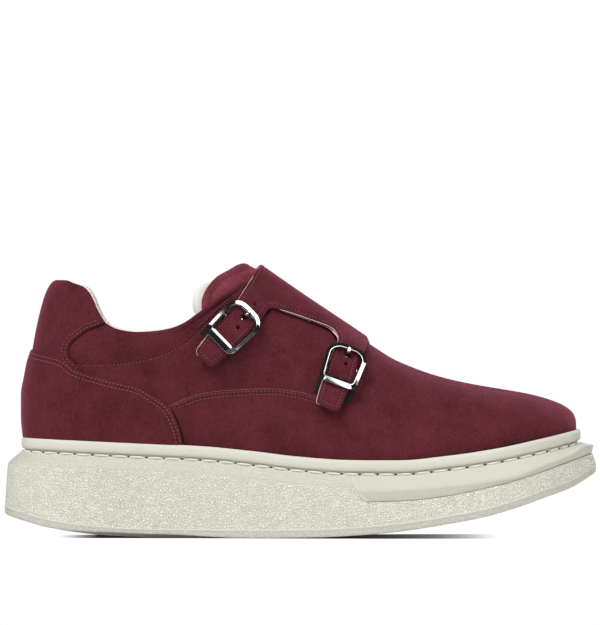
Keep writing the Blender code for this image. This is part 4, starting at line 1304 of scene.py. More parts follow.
def vamp_half(hand):
    """Rows of one side of the vamp, from under the welt to its edge or to the ridge."""
    side = np.full(len(vamp_walk), hand)
    x0 = on_last(vamp_walk, 50.0, side, 0.0)[:, 0]
    foot = feather(x0)
    full = ridge_height(x0, 0.0) - foot
    closed = x0 >= VAMP_CLOSES
    edge = np.where(closed, foot + full, np.minimum(vamp_edge(x0, side), foot + full))
    edge = np.where(vamp_walk > TIP_STATION - 0.01, foot, edge)

    def up_to(z):
        return np.clip((z - foot) / np.maximum(full, 0.01), 0, 1)

    def laid(z, lift):
        turn = side * np.arccos(up_to(z))

        def from_wave(x, turn_there, lean):
            along = (turn - turn_there) * TURN_TO_MM
            return along, x0 - x - lean * along

        return on_last(vamp_walk, z, side, waves_over(VAMP_WAVES, from_wave, turn.shape) + lift)

    swing = np.where(closed, pi / 2, np.arcsin(up_to(edge)))
    rows = [on_last(vamp_walk, foot - drop, side, 0.0) for drop in (5.5, 3.0)]
    for share in np.arange(VAMP_ROWS + 1) / VAMP_ROWS:
        z = foot + full * np.sin(swing * share)
        rows.append(laid(np.where(closed | (edge - z > LIP_DEPTH), z, edge - LIP_DEPTH - 0.3 * (1 - share)), 0.0))
    for gap, height in LIP_ROWS:
        rows.append(laid(np.where(closed, foot + full, edge - gap), np.where(closed, 0.0, height - VAMP_THICKNESS)))
    return np.stack(rows, 1)


vamp_walk = np.concatenate([
    np.arange(-67.5, 8, 1.2), np.arange(8, VAMP_CLOSES, 0.6), [VAMP_CLOSES - 0.02],
    np.arange(VAMP_CLOSES, TOE_START, 1.2), np.linspace(TOE_START, TIP_STATION, 80)])
between_rows = 1 + VAMP_ROWS + 1 + len(LIP_ROWS)
make_piece("vamp", *both_halves(vamp_half), [burgundy_suede, cut_edge_and_highlight], "suede", closed=False, crease=60,
           part=[int(row == between_rows - 1 and start < VAMP_CLOSES - 0.5)
                 for start in vamp_walk[:-1] for row in range(between_rows)] * 2)

# %% [markdown]
# ## Sheets cut to an outline
# The heel counter, the strap flap, the tongue and the elastics are flat pieces of leather or webbing
# bent over the last.  Cutting such a shape out of a grid would leave stairs along its edge.  So the
# outline is drawn on the unrolled last, a few rows of points follow it inwards at true distances,
# the middle is filled with an even lattice, and Blender's Delaunay triangulation joins them.  Every
# point is then laid over the last, at a height that depends on its distance from the edge.

# %% Sheets
def inset(path, place, distance, closed=True):
    """The path moved to its left by a true distance on the surface."""
    step = 0.02
    u, v = path.T
    along = (place(u + step, v, 0.0) - place(u - step, v, 0.0)) / (2 * step)
    aside = (place(u, v + step, 0.0) - place(u, v - step, 0.0)) / (2 * step)
    uu, uv, vv = (along * along).sum(1), (along * aside).sum(1), (aside * aside).sum(1)
    ahead = np.roll(path, -1, axis=0) - np.roll(path, 1, axis=0) if closed else np.gradient(path, axis=0)
    x, y = -(uv * ahead[:, 0] + vv * ahead[:, 1]), uu * ahead[:, 0] + uv * ahead[:, 1]
    length = np.sqrt(uu * x ** 2 + 2 * uv * x * y + vv * y ** 2)
    return path + np.stack([x, y], -1) / length[:, None] * np.reshape(distance, (-1, 1))


def gauge(place, rims):
    """A function that measures how far spots of the unrolled sheet are from its rims."""
    border = np.concatenate([place(*rim.T, 0.0) for rim in rims])
    tree = KDTree(len(border))
    for i, point in enumerate(border):
        tree.insert(point, i)
    tree.balance()
    return lambda spots: np.array([tree.find(point)[2] for point in place(*spots.T, 0.0)])


def anticlockwise(outline):
    x, y = outline.T
    return outline if (x * np.roll(y, -1) - np.roll(x, -1) * y).sum() > 0 else outline[::-1]


def fill_outline(rims, place, spacing, rows):
    """Points inside an outline, which is the first rim, and outside its holes; their triangles and distances."""
    measure = gauge(place, rims)
    spots = list(rims)
    for distance in rows:
        for number, rim in enumerate(rims):
            moved = inset(rim, place, distance if number == 0 else -distance)
            spots.append(moved[measure(moved) > distance * 0.96])
    low, high = rims[0].min(0), rims[0].max(0)
    lattice = np.stack(np.meshgrid(np.arange(low[0], high[0], spacing),
                                   np.arange(low[1], high[1], spacing * 0.87), indexing="ij"), -1)
    lattice[:, ::2, 0] += spacing / 2
    lattice = lattice.reshape(-1, 2)
    lattice = lattice[is_inside(*lattice.T, rims[0])]
    spots.append(lattice[measure(lattice) > rows[-1] + 0.5 * spacing])
    edges, start = [], 0
    for rim in rims:
        edges += [(start + i, start + (i + 1) % len(rim)) for i in range(len(rim))]
        start += len(rim)
    filled, _, triangles, *_ = delaunay_2d_cdt([Vector(spot) for spot in np.concatenate(spots)], edges, [], 0, 1e-6)
    filled, triangles = np.array([list(point) for point in filled]), np.array(triangles)
    middle = filled[triangles].mean(1)
    keep = is_inside(*middle.T, rims[0])
    for hole in rims[1:]:
        keep &= ~is_inside(*middle.T, hole)
    distance = measure(filled)
    distance[:start] = 0
    return filled, triangles[keep], distance


def sheet(name, outline, place, top, under, spacing, rows, finishes, slot, replaces=(), holes=(), bevel=None):
    """A sheet of leather; top and under give heights from (u, v, distance from the edge).

    finishes: face, cut edge, underside.  bevel: how far the underside's edge stands inside the face's.
    """
    rims = [anticlockwise(rim) for rim in (outline, *holes)]
    spots, triangles, distance = fill_outline(rims, place, spacing, rows)
    low = spots.copy()
    if bevel:
        rim = rims[0]
        outwards = place(*inset(rim, place, -1.0).T, 0.0) - place(*rim.T, 0.0)
        low[:len(rim)] = inset(rim, place, -bevel(rim, outwards))
    count = len(spots)
    points = np.concatenate([place(*spots.T, top(*spots.T, distance)),
                             place(*low.T, under(*spots.T, distance))])
    faces = triangles.tolist() + (triangles[:, ::-1] + count).tolist()
    part = [0] * len(triangles) + [2] * len(triangles)
    start = 0
    for rim in rims:
        for i in range(len(rim)):
            here, after = start + i, start + (i + 1) % len(rim)
            faces.append([after, here, here + count, after + count])
            part.append(1 if start == 0 else 2)
        start += len(rim)
    return make_piece(name, points, faces, finishes, slot, replaces, part=part, crease=70)


def rounded(distance, radius, least=0.0):
    """Rises from least at the edge to 1 at radius from it, like a quarter circle."""
    t = np.clip(distance / radius, 0, 1)
    return least + (1 - least) * np.sqrt(np.maximum(1 - (1 - t) ** 2, 0))


def stitched(distance, *rows):
    """The shallow furrows that rows of stitches pull into a sheet."""
    return sum(0.16 * dent(distance - row, 0.5) for row in rows)


print("sheets can be cut and bent")

# %% [markdown]
# ## Seams in leather
# A seam in suede is fine: its stitches are half a millimetre wide, and between them the needle has
# left small holes, painted near black as painted shade inside them.  Every seam is given as its
# points and the directions out of the leather, which any laying function can give when it is asked
# twice, at the seam and half a millimetre over it.  Beside thick edges runs a thin dark tube of
# painted shadow, where one piece of leather dips under the next.

# %% Seams in leather
STITCH_PITCH = 1.95
STITCH_LENGTH = 1.05
STITCH_WIDTH = 0.50
STITCH_HEIGHT = 0.45
NEEDLE_HOLE = (0.6, 0.5, 0.3)       # length, width, height
NEEDLE_DEPTH = 0.12


def seam_line(lay, height):
    """Points at a height over the leather and the directions out of it; lay(height) gives points."""
    points = lay(height)
    return points, unit(lay(height + 0.5) - points)


def seam_on(path, place, height):
    """A seam drawn on an unrolled sheet."""
    return seam_line(lambda high: place(*path.T, high), height)


def leather_seam(name, runs, finish=None):
    """Fine stitches along lines of (points, outward directions), and the needle's holes between them."""
    stitches = [capsule_row(points, out, STITCH_PITCH, STITCH_LENGTH, STITCH_WIDTH, STITCH_HEIGHT, 6, 6,
                            arch=0.05, seed=5 + number) for number, (points, out) in enumerate(runs)]
    holes = [capsule_row(points - out * NEEDLE_DEPTH, out, STITCH_PITCH, *NEEDLE_HOLE, 4, 6,
                         seed=5 + number, phase=1.0) for number, (points, out) in enumerate(runs)]
    points, faces = join_parts(*stitches, *holes)
    count = sum(len(faces) for _, faces in stitches)
    make_piece(name, points, faces, [finish or wine_thread, needle_hole_painted_shade], "suede",
               part=[0] * count + [1] * (len(faces) - count))


def gap_line(points, outward, width, sides=6):
    """A thin tube, tapered at both ends: near black as painted shadow, or pale for a cut edge."""
    lengths = lengths_along(points)
    taper = np.clip(np.minimum(lengths, lengths[-1] - lengths) / 5.0, 0.08, 1) ** 0.6
    aside = np.cross(unit(np.gradient(points, axis=0)), outward)
    return (swept(points, aside, outward, circle(sides), taper * width, taper * width / 1.5),
            tube_faces(len(points), sides))


# Painted shadow: a near-black suede for thin tubes laid where one piece dips under another and no light reaches.
painted_shadow_suede = suede("painted_shadow_suede", (0.006, 0.0015, 0.002), (0.012, 0.003, 0.004), 300.0, 2500.0, 0.05)
print("a stitch every", STITCH_PITCH, "mm")

# %% [markdown]
# ## Seams of the quarters and the vamp
# The heel tab is sewn down with two close rows along its edge, the padding of the collar with one
# row along its lower border, and the throat is turned in with one row.  The vamp lies on the
# quarters and is held by two rows.  The thread is a paler pink than the suede and catches the light.

# %% Seams of the quarters and the vamp
HANDS = (-1.0, 1.0)


def station_of(x, z):
    """The station of a side-view point, the same on both sides of the heel."""
    angle = np.arctan2(-side_y(x, z, -1.0, 0.0), np.maximum(HEEL_AXIS - x, 1e-6))
    return np.where(x < HEEL_AXIS, HEEL_AXIS - HEEL_ARC * (1 - angle / (pi / 2)), x)


def beside(path, gap):
    """A side-view path moved to its left."""
    return path + unit(np.gradient(path, axis=0))[:, ::-1] * (-gap, gap)


def quarter_run(path, side, above=0.05):
    """A seam on the quarters, drawn in side view."""
    x, z = path.T
    station, relief = station_of(x, z), quarter_relief(x, z, side)
    return seam_line(lambda high: on_last(station, z, side, relief + high), above)


def vamp_run(side, gap):
    """A seam on the vamp, this far from its cut edge."""
    x = np.arange(-64.0, 9.0, 1.0)
    x, z = beside(np.stack([x, vamp_edge(x, side)], -1), -gap).T
    return seam_line(lambda high: on_last(x, z, side, high), 0.02)


THROAT_ROW = curve_through((
    (-25.2, 133.4), (-31.2, 127.4), (-36.4, 122.9), (-42.5, 117.3), (-47.5, 112.8), (-53.0, 107.9)))
tab_rows = [beside(PAD_SEAM, gap) for gap in (-1.1, -2.9)]
quarter_rows = [row[below_top(*row.T) > 2.0] for row in tab_rows] + [PAD_STITCH, THROAT_ROW]
leather_seam("quarter_seams", [quarter_run(row, hand) for hand in HANDS for row in quarter_rows])
leather_seam("vamp_seams", [vamp_run(hand, gap) for hand in HANDS for gap in (1.2, 3.0)])

# %% [markdown]
# ## The pad's dark line
# Where the padding slips under the heel tab, the seam pulls the suede down so far that no light
# reaches its bottom.  That shade is painted: a thin tapered tube of nearly black suede lies there.

# %% The pad's dark line
pad_seam = PAD_SEAM[below_top(*PAD_SEAM.T) > 0.3]
make_piece("painted_shadow_of_the_pad_seam", *join_parts(*[
    gap_line(*quarter_run(pad_seam, hand, above=-0.05), 0.9) for hand in HANDS]), [painted_shadow_suede], "suede")

# %% [markdown]
# ## Heel counter
# A stiff second layer of suede wraps the heel.  Its outline is drawn as distances round the heel and
# heights, so that it stays one flat piece from one side of the shoe to the other.  It is sewn down
# with two rows, and a dark line of painted shadow runs in front of its front edge.

# %% Heel counter
COUNTER_EDGE = np.array((
    # side view, from the middle of the heel's back over the top and down the front edge
    (-128.7, 93.6), (-121.0, 91.2), (-116.9, 87.6), (-112.2, 85.3), (-97.3, 80.9), (-82.8, 77.3),
    (-77.4, 74.2), (-67.7, 67.1), (-62.7, 57.7), (-60.0, 47.9), (-59.2, 43.0),
))
COUNTER_BACK = ((0.0, 96.3), (7.0, 96.0), (15.0, 95.4))     # round the heel, height
COUNTER_INSIDE = 0.1
COUNTER_THICKNESS = 1.65


def counter_place(u, z, height):
    """u is the distance from the middle of the heel's back, negative on the outer side."""
    return on_last(BACK_STATION + np.abs(u), z, np.where(u < 0, -1, 1), height)


def counter_top(u, v, d):
    return (COUNTER_INSIDE + COUNTER_THICKNESS * 0.5 * (rounded(d, 0.6, 0.4) + blend_in(d, 0, 7))
            - stitched(d, 1.4, 3.5))


sides = np.stack([station_of(*COUNTER_EDGE.T) - BACK_STATION, COUNTER_EDGE[:, 1]], -1)
half = np.concatenate([COUNTER_BACK, sides])
counter_curve = curve_through(np.concatenate([half[::-1], half[1:] * (-1, 1)]), 0.8)
low = np.linspace(counter_curve[-1, 0], counter_curve[0, 0], 120)[1:-1]
low_z = feather(counter_place(low, 45.0, 0.0)[:, 0]) - 5.0
sheet("heel_stiffener", np.concatenate([counter_curve, np.stack([low, low_z], -1)]), counter_place,
      counter_top, lambda u, v, d: COUNTER_INSIDE + 0 * d, 1.7, (0.2, 0.55, 1.0, 1.4, 1.9, 2.6, 3.5, 4.1),
      [burgundy_suede, burgundy_suede, flesh_side], "suede", ["heel_counter"])


def counter_run(path, gap, height):
    return seam_on(inset(path, counter_place, gap, closed=False), counter_place, height)


leather_seam("counter_seam", [counter_run(counter_curve, 1.4, 0.92), counter_run(counter_curve, 3.5, 1.3)],
             rose_thread)
front = counter_curve[(counter_curve[:, 0] > 0) & (counter_curve[:, 1] < 66)]
# Painted shadow: a near-black tube in front of the stiffener's front edge.
make_piece("painted_shadow_before_the_stiffener", *join_parts(*[
    gap_line(*counter_run(front * (hand, 1), -0.3 * hand, 0.35), 0.75) for hand in (1, -1)]),
    [painted_shadow_suede], "suede")

# %% [markdown]
# ## Tongue
# The tongue is foam between suede and lining.  Its suede face ends in a stitched roll, and the cream
# pad behind it stands a few millimetres out towards the ankle.  Both are sheets over the last, a
# little below the quarters, with full round edges, so they read as soft.  They are drawn in side
# view and unrolled over the ridge, which joins the outer and the inner side.

# %% Tongue
TURN_SCALE = 60.0           # millimetres of unrolled sheet for a turn of one radian
TONGUE_LEVEL = -4.4
TONGUE_THICK = 2.4
PAD_LEVEL = TONGUE_LEVEL - 0.9
TONGUE_FACE = (
    (-26.9, 142.0), (-33.0, 140.6), (-37.3, 138.3), (-43.9, 134.6), (-47.6, 130.5), (-49.9, 126.5),
    (-50.9, 122.3), (-50.5, 117.5), (-48.0, 111.0), (-44.0, 104.0), (-30.0, 97.0), (0.0, 90.0), (20.0, 86.0),
)
TONGUE_PAD = (
    (-37.0, 137.2), (-44.5, 133.8), (-50.4, 131.2), (-53.7, 127.9), (-55.2, 124.0), (-55.4, 120.0),
    (-54.1, 116.0), (-50.0, 108.0), (-32.0, 96.0), (0.0, 91.0), (18.0, 88.0),
)
ROLL_WIDTH = 5.2


def over_place(u, v, height):
    return over_last(u, v / TURN_SCALE, height)


def unroll(x, z, side, grow):
    """A side-view point as a point of the sheet that is unrolled over the ridge."""
    t = (z - feather(x)) / (ridge_height(x, grow) - feather(x))
    return np.stack([x, side * np.arccos(np.clip(t, -1, 1)) * TURN_SCALE], -1)


def tongue_outline(half, tip, level):
    outer, inner = [unroll(*np.array(half).T, hand, level) for hand in HANDS]
    return anticlockwise(curve_through(np.concatenate([[(tip, 0.0)], outer, inner[::-1]]), closed=True))


def tongue_top(u, v, d):
    roll = (0.5 + 0.45 * blend_in(u, -45, -33)) * dent(d - 2.4, 1.8) - 0.6 * dent(d - ROLL_WIDTH, 0.6)
    inlay = 2.0 * blend_in(u, -26.5, -20.5) * (1 - blend_in(u, -18, -12)) * (1 - blend_in(np.abs(v), 12, 21))
    return TONGUE_LEVEL + TONGUE_THICK * rounded(d, 2.2) + roll * (1 - blend_in(u, -27.3, -24.8)) + inlay


# Painted light: the tongue's suede is a copy of the burgundy about twice as light, standing in for the light from
# above on its upturned face.
tongue_suede = suede("tongue_suede", (0.104, 0.022, 0.0305), (0.232, 0.047, 0.069))
face_outline = tongue_outline(TONGUE_FACE, -24.6, TONGUE_LEVEL + TONGUE_THICK)
tongue = sheet(
    "tongue_face", face_outline, over_place, tongue_top, lambda u, v, d: TONGUE_LEVEL - 0.8 * rounded(d, 2.0),
    1.6, (0.25, 0.7, 1.4, 2.4, 3.6, 4.6, ROLL_WIDTH, 5.8), [tongue_suede, tongue_suede, flesh_side], "suede",
    ["tongue"])
tongue_pad = sheet(
    "tongue_pad", tongue_outline(TONGUE_PAD, -31.0, TONGUE_LEVEL - 1.0), over_place,
    lambda u, v, d: PAD_LEVEL - 2.0 * (1 - rounded(d, 3.2)),
    lambda u, v, d: PAD_LEVEL - 2.0 - 2.4 * rounded(d, 4.0),
    1.8, (0.3, 0.9, 1.8, 3.0, 4.2), [cream_lining] * 3, "lining")
roll = inset(face_outline, over_place, ROLL_WIDTH)
roll = roll[roll[:, 0] < -23]
jumps = np.abs(np.diff(roll[:, 1])) > 20
if jumps.any():
    roll = np.roll(roll, -(jumps.argmax() + 1), axis=0)
leather_seam("tongue_seam", [seam_on(roll, over_place, TONGUE_LEVEL + 1.75)])

# %% [markdown]
# ## Places of the buckles
# Flap, buckles, prongs and elastics all have to meet, so each buckle has measures of its own: along
# its strap towards the tail, across it, and up from the last.  One function turns them into side
# view, another into a point in space.  A strap runs over the middle bar of its buckle and under its
# frame, so the leather is lifted there, and its tail stands free and casts small shadows.

# %% The buckles' places
BUCKLES = (
    # middle in side view, direction of the strap to its tail, how much longer it is than it looks
    {"name": "rear", "x": -34.1, "z": 108.5, "down": (-0.71, -0.70), "look": 1.045, "elastic": 15.5},
    {"name": "front", "x": 21.9, "z": 88.4, "down": (-0.34, -0.94), "look": 1.24, "elastic": 22.0},
)
GAP = 0.3
STRAP = 2.2
STRAP_LIFT = 3.3
TAIL_LENGTH = 23.5


def side_spot(buckle, along, across):
    """Side-view place of a point of a buckle: along the strap to its tail, and across it."""
    down_x, down_z = buckle["down"]
    along = along / buckle["look"]
    return buckle["x"] + along * down_x - across * down_z, buckle["z"] + along * down_z + across * down_x


def on_buckle(buckle, local):
    """Points on the shoe from points (along, across, height) of a buckle."""
    along, across, height = np.moveaxis(local, -1, 0)
    x, z = side_spot(buckle, along, across)
    return np.stack([x, side_y(x, z, -1.0, height), z], -1)


def strap_lift(x, z, side):
    """How far the flap is lifted where a strap crosses its buckle, on the outer side."""
    runs = [np.array([side_spot(buckle, along, 0) for along in (-3.0, TAIL_LENGTH)]) for buckle in BUCKLES]
    closest = np.min([distance_to(x, z, run) for run in runs], axis=0)
    return np.where(side > 0, 0.0, STRAP_LIFT * blend_in(-closest, -17.5, -8.5))


print("buckles:", [buckle["name"] for buckle in BUCKLES])

# %% [markdown]
# ## Strap flap
# One piece of suede lies over the instep and ends, on the outer side, in two straps.  It is cut as
# one sheet with round punched holes and a slot for each prong.  The knife leaned a little as it was
# cut, so edges that face back and up show their pale cut, and the others are undercut and dark.

# %% Strap flap
FLAP_OUTER = (
    (-26.5, 131.2), (-31.4, 123.4), (-36.3, 116.2), (-44.2, 108.3), (-47.6, 104.3), (-53.9, 95.8),
    (-45.5, 87.5), (-34.0, 97.7), (-24.1, 107.6), (-19.9, 113.5), (-16.9, 117.4), (-14.6, 118.6),
    (-5.4, 115.8), (4.0, 112.6), (13.2, 109.3), (16.8, 107.4), (19.2, 104.7), (19.4, 102.3),
    (16.3, 95.0), (13.2, 86.6), (8.5, 71.6), (8.4, 69.9), (10.2, 68.6), (18.3, 65.3), (19.9, 66.3),
    (23.4, 74.0), (27.0, 81.7), (30.0, 91.8), (33.4, 97.9), (34.6, 101.2),
)
SHARP_CORNERS = (5, 6)
CORNER_REACH = 1.1
FLAP_INNER = (
    (36.5, 98.0), (38.3, 91.0), (37.0, 85.0), (32.0, 80.5), (24.0, 80.0), (10.0, 83.5), (-10.0, 88.0),
    (-30.0, 92.0), (-41.5, 95.5), (-47.0, 101.0), (-46.5, 108.0), (-41.0, 116.5), (-31.0, 127.5),
)
FLAP_TOP = (-20.6, 34.5)                                   # where the outline crosses the ridge
HOLES = ((-32.1, 108.3), (-23.5, 120.6), (23.2, 89.7))
HOLE_RADIUS = 0.85
FLAP_LEVEL = GAP + STRAP
SEAM_INSET = 2.0
BUCKLE_LENGTH = 25.0
TOP_BAR = 3.2
BAR_INSIDE = -BUCKLE_LENGTH / 2 + TOP_BAR
PRONG_WIDTH = 2.2


def flap_place(u, v, height):
    """Over the last, lifted on the outer side where a strap crosses its buckle."""
    laid = over_last(u, v / TURN_SCALE, height)
    x, z, side = laid[..., 0], laid[..., 2], np.where(v < 0, -1.0, 1.0)
    laid[..., 1] = side_y(x, z, side, height + strap_lift(x, z, side))
    return laid


def cut_corners(path):
    """Two points in place of each sharp corner, so that the curve turns tightly there."""
    path = np.array(path)
    for i, point in enumerate(path):
        if i in SHARP_CORNERS:
            yield from (point + unit(other - point) * CORNER_REACH for other in (path[i - 1], path[i + 1]))
        else:
            yield point


def squarish(sides, power):
    """A circle swollen towards a square."""
    spots = circle(sides)
    return np.sign(spots) * np.abs(spots) ** power


def prong_slot(buckle):
    """The hole in the strap through which the prong comes up, beside the frame's top bar."""
    along, across = (squarish(24, 0.6) * (1.9, PRONG_WIDTH / 2 + GAP) + (BAR_INSIDE + 1.5, 0.0)).T
    return unroll(*side_spot(buckle, along, across), -1, FLAP_LEVEL)


def flap_bevel(rim, outwards):
    facing = outwards @ (-0.75, 0.0, 0.66) - 0.35 * blend_in(-rim[:, 0], 44, 47)
    return np.where(facing > 0, 0.55 * facing, 2.6 * facing)


outer = unroll(*np.array(list(cut_corners(FLAP_OUTER))).T, -1, FLAP_LEVEL)
inner = unroll(*np.array(FLAP_INNER).T, 1, FLAP_LEVEL)
flap_outline = anticlockwise(curve_through(
    np.concatenate([[(FLAP_TOP[0], 0.0)], outer, [(FLAP_TOP[1], 0.0)], inner]), 0.8, closed=True))
punched = [unroll(*(circle(18) * HOLE_RADIUS + spot).T, -1, FLAP_LEVEL) for spot in HOLES]
sheet("strap_flap_leather", flap_outline, flap_place,
      lambda u, v, d: GAP + STRAP * rounded(d, 0.8, 0.55) - stitched(d, SEAM_INSET),
      lambda u, v, d: GAP + 0.25 * (1 - rounded(d, 0.6)),
      1.5, (0.15, 0.45, 0.85, 1.4, SEAM_INSET, 2.6), [burgundy_suede, cut_edge_and_highlight, flesh_side], "suede",
      ["strap_flap"], holes=punched + [prong_slot(buckle) for buckle in BUCKLES], bevel=flap_bevel)
row = inset(flap_outline, flap_place, SEAM_INSET)
row = row[gauge(flap_place, [flap_outline])(row) > SEAM_INSET - 0.1]
leather_seam("flap_seam", [seam_on(row, flap_place, FLAP_LEVEL - 0.15)])

# %% [markdown]
# ## Edge lines of the flap
# Along three stretches the raw cut edge of the flap faces the light.  There a narrow tube of pale
# suede, half sunk in the edge, makes that line crisp: partly the cut's own paler colour, partly a
# painted highlight.  Under the notch between the straps the flap casts a deep shadow, which is
# painted: a tube of near-black suede on the leather below.

# %% Edge lines of the flap
PALE_CUTS_AND_HIGHLIGHTS = (
    # width, points in side view
    (0.30, ((-21.4, 138.6), (-26.5, 131.2), (-31.4, 123.4), (-33.2, 120.7))),
    (0.50, ((-47.4, 104.5), (-50.8, 100.0), (-53.6, 96.2))),
    (0.62, ((-11.0, 117.4), (-5.4, 115.7), (4.0, 112.5), (13.2, 109.2), (16.8, 107.3), (19.1, 104.7))),
)
NOTCH_LINE = (
    (-19.6, 112.0), (-16.8, 115.8), (-14.8, 117.2), (-8.0, 115.1), (0.9, 112.0), (6.9, 109.7), (12.8, 107.2),
    (16.4, 104.8), (18.0, 101.8),
)


def edge_tube(points, level, place, height, width):
    path = unroll(*curve_through(points, 0.8).T, -1, level)
    return gap_line(*seam_on(path, place, height), width)


# Partly the cut's paler colour and partly painted highlight, only where the edge faces the light.
make_piece("pale_cut_and_highlight_of_the_flap", *join_parts(*[
    edge_tube(points, FLAP_LEVEL, flap_place, FLAP_LEVEL - 0.2, width) for width, points in PALE_CUTS_AND_HIGHLIGHTS]),
    [cut_edge_and_highlight], "suede")
# Painted shadow: a near-black tube under the notch between the straps.
make_piece("painted_shadow_under_the_flap", *edge_tube(NOTCH_LINE, 0.0, over_place, 0.35, 2.2), [painted_shadow_suede], "suede")

# %% [markdown]
# ## Plated metal
# The buckles are cast, polished and plated dark.  Their finish is almost a mirror, with faint clouds
# in its tone and a very shallow bump, because no polished casting is perfectly even.

# %% Plated metal
plated = two_toned("plated_metal", 0.09, clouds(700.0, 3.0), (0.42, 0.42, 0.43), (0.52, 0.518, 0.51),
                   (0.3, 0.7), 0.02, 0.25, {"Metallic": 1.0})
print("metal:", plated.name)

# %% [markdown]
# ## Frames
# A frame is a rounded square ring.  Its face slopes down from a crisp inner edge to the outside, so
# one side mirrors the bright ceiling and the other the dark room.  The two facets stay flat because
# extra points of the section stand close beside each corner.  A thin bar under the strap carries
# the prong, and its ends are bent up to the frame.  The ring is wider towards its tail.

# %% Frames
BUCKLE_WIDTH = 20.0
SIDE_BAR = 2.9
TAIL_BAR = 4.8
BAR_HEIGHT = 2.2
BAR_BOTTOM = GAP + STRAP_LIFT + STRAP + GAP
FRAME_STEP = 0.45
FRAME_ENDS = {
    # reach, radius of the corners and width of the bar, at the tail and at the top
    1: ((BUCKLE_LENGTH + 1.1 - TAIL_BAR) / 2, 2.6, TAIL_BAR),
    -1: ((BUCKLE_LENGTH - TOP_BAR) / 2, 5.6, TOP_BAR),
}
FRAME_CORNERS = (
    # towards the tail, across, first angle
    (1, 1, 0), (-1, 1, 90), (-1, -1, 180), (1, -1, 270),
)
FRAME_SECTION = (
    # outwards and upwards, in halves of the bar's width and height
    (-1.0, -0.55), (-1.0, -0.05), (-0.96, 0.12), (-0.93, 0.17), (-0.46, 0.87), (-0.42, 0.92), (-0.38, 1.0),
    (-0.18, 1.0), (-0.14, 0.96), (-0.08, 0.925), (0.87, 0.30), (0.93, 0.26), (0.975, 0.2), (1.0, 0.08),
    (0.985, -0.08), (0.72, -0.6), (0.7, -1.0), (-0.7, -1.0), (-0.9, -0.88),
)
ROUND_SECTION = squarish(16, 0.7)
PIVOT_LINE = (
    # across, height
    (-9.8, 6.6), (-9.8, 4.0), (-9.6, 2.5), (-8.9, 1.85), (-7.8, 1.75), (0.0, 1.75),
    (7.8, 1.75), (8.9, 1.85), (9.6, 2.5), (9.8, 4.0), (9.8, 6.6),
)
PIVOT_SIZE = (2.2, 0.9)


def frame_line():
    """Middle line of the frame: along, across, outward along, outward across, width of the bar."""
    path = []
    half = (BUCKLE_WIDTH + 0.8 - SIDE_BAR) / 2
    for tail, across, first in FRAME_CORNERS:
        end, radius, bar = FRAME_ENDS[tail]
        for turn in np.radians(first + np.linspace(0, 90, 15)):
            path.append((tail * (end - radius) + radius * cos(turn),
                         across * (half - radius) + radius * sin(turn), cos(turn), sin(turn), SIDE_BAR + (bar - SIDE_BAR) * abs(cos(turn))))
    full = even_steps(path, FRAME_STEP)
    towards_top = np.clip(-full[:, 0] / 11, 0, 1)
    full[:, 0] -= 0.9 * towards_top ** 2 * (1 - (full[:, 1] / 9) ** 2)
    full[:, 1] *= 1 - 0.065 * full[:, 0] / 12.5
    return full


def even_steps(corners, step):
    """A closed line with straight sides, cut in even short steps."""
    corners = np.array(corners)
    made = []
    for here, there in zip(corners, np.roll(corners, -1, axis=0)):
        parts = max(int(np.linalg.norm((there - here)[:2]) / step), 1)
        made.append(here + (there - here) * np.arange(parts)[:, None] / parts)
    return np.concatenate(made)


def bent_bar(buckle, path, axis, widths, thick):
    """A rounded bar bent in the plane across one axis of the buckle."""
    aside = unit(np.gradient(path, axis=0))[:, ::-1] * (-1, 1)
    local = swept(np.insert(path, axis, 0.0, 1), np.eye(3)[axis], np.insert(aside, axis, 0.0, 1),
                  ROUND_SECTION, widths, thick)
    return on_buckle(buckle, local), tube_faces(*local.shape[:2])


path = frame_line()
middle = np.insert(path[:, :2], 2, BAR_BOTTOM + BAR_HEIGHT / 2, 1)
out = unit(np.insert(path[:, 2:4], 2, 0.0, 1))
ring = swept(middle, out, (0, 0, 1), FRAME_SECTION, path[:, 4], BAR_HEIGHT)
for buckle in BUCKLES:
    name = buckle["name"]
    make_piece(f"frame_of_the_{name}_buckle", *join_parts(
        (on_buckle(buckle, ring), grid_faces(*ring.shape[:2], around=True, wrap=True)),
        bent_bar(buckle, curve_through(PIVOT_LINE, 0.4), 0, *PIVOT_SIZE)),
        [plated], "buckle_metal", [f"buckle_frame_{name}"], crease=25)

# %% [markdown]
# ## Prongs
# The prong curls round the thin bar, runs forwards under the strap, comes up through its slot and
# lies over the top bar.  It is one bent bar, drawn from the side, whose ends are rounded by letting
# its width run out.

# %% Prongs
PRONG_LINE = (
    # along, height
    (-0.6, 0.68), (0.6, 0.66), (1.5, 0.75), (2.0, 1.2), (2.05, 2.0), (1.7, 2.65), (0.8, 2.92), (-2.0, 2.93),
    (-5.0, 2.95), (-6.4, 3.3), (-7.3, 4.4), (-7.9, 6.0), (-8.4, 7.6), (-9.1, 8.75), (-10.3, 9.2), (-11.6, 9.22),
    (-12.7, 9.05), (-13.0, 8.95),
)
PRONG_STEP = 0.3
PRONG_THICKNESS = 0.74
bend = curve_through(PRONG_LINE, PRONG_STEP)
from_end = PRONG_STEP * np.minimum(np.arange(len(bend)), np.arange(len(bend))[::-1])
widths = PRONG_WIDTH * np.sqrt(np.clip(1 - (1 - np.clip(from_end, 0, 1)) ** 2, 0.25, 1))
for buckle in BUCKLES:
    make_piece(f"prong_of_the_{buckle['name']}_buckle", *bent_bar(buckle, bend, 1, widths, PRONG_THICKNESS),
               [plated], "buckle_metal", [f"buckle_prong_{buckle['name']}"], crease=60)

# %% [markdown]
# ## Elastics
# A short piece of black elastic webbing ties each buckle to the quarter.  It is woven across with
# fine ribs, which a wave pattern in the bump makes.  It is cut as a flat sheet, notched for the prong.

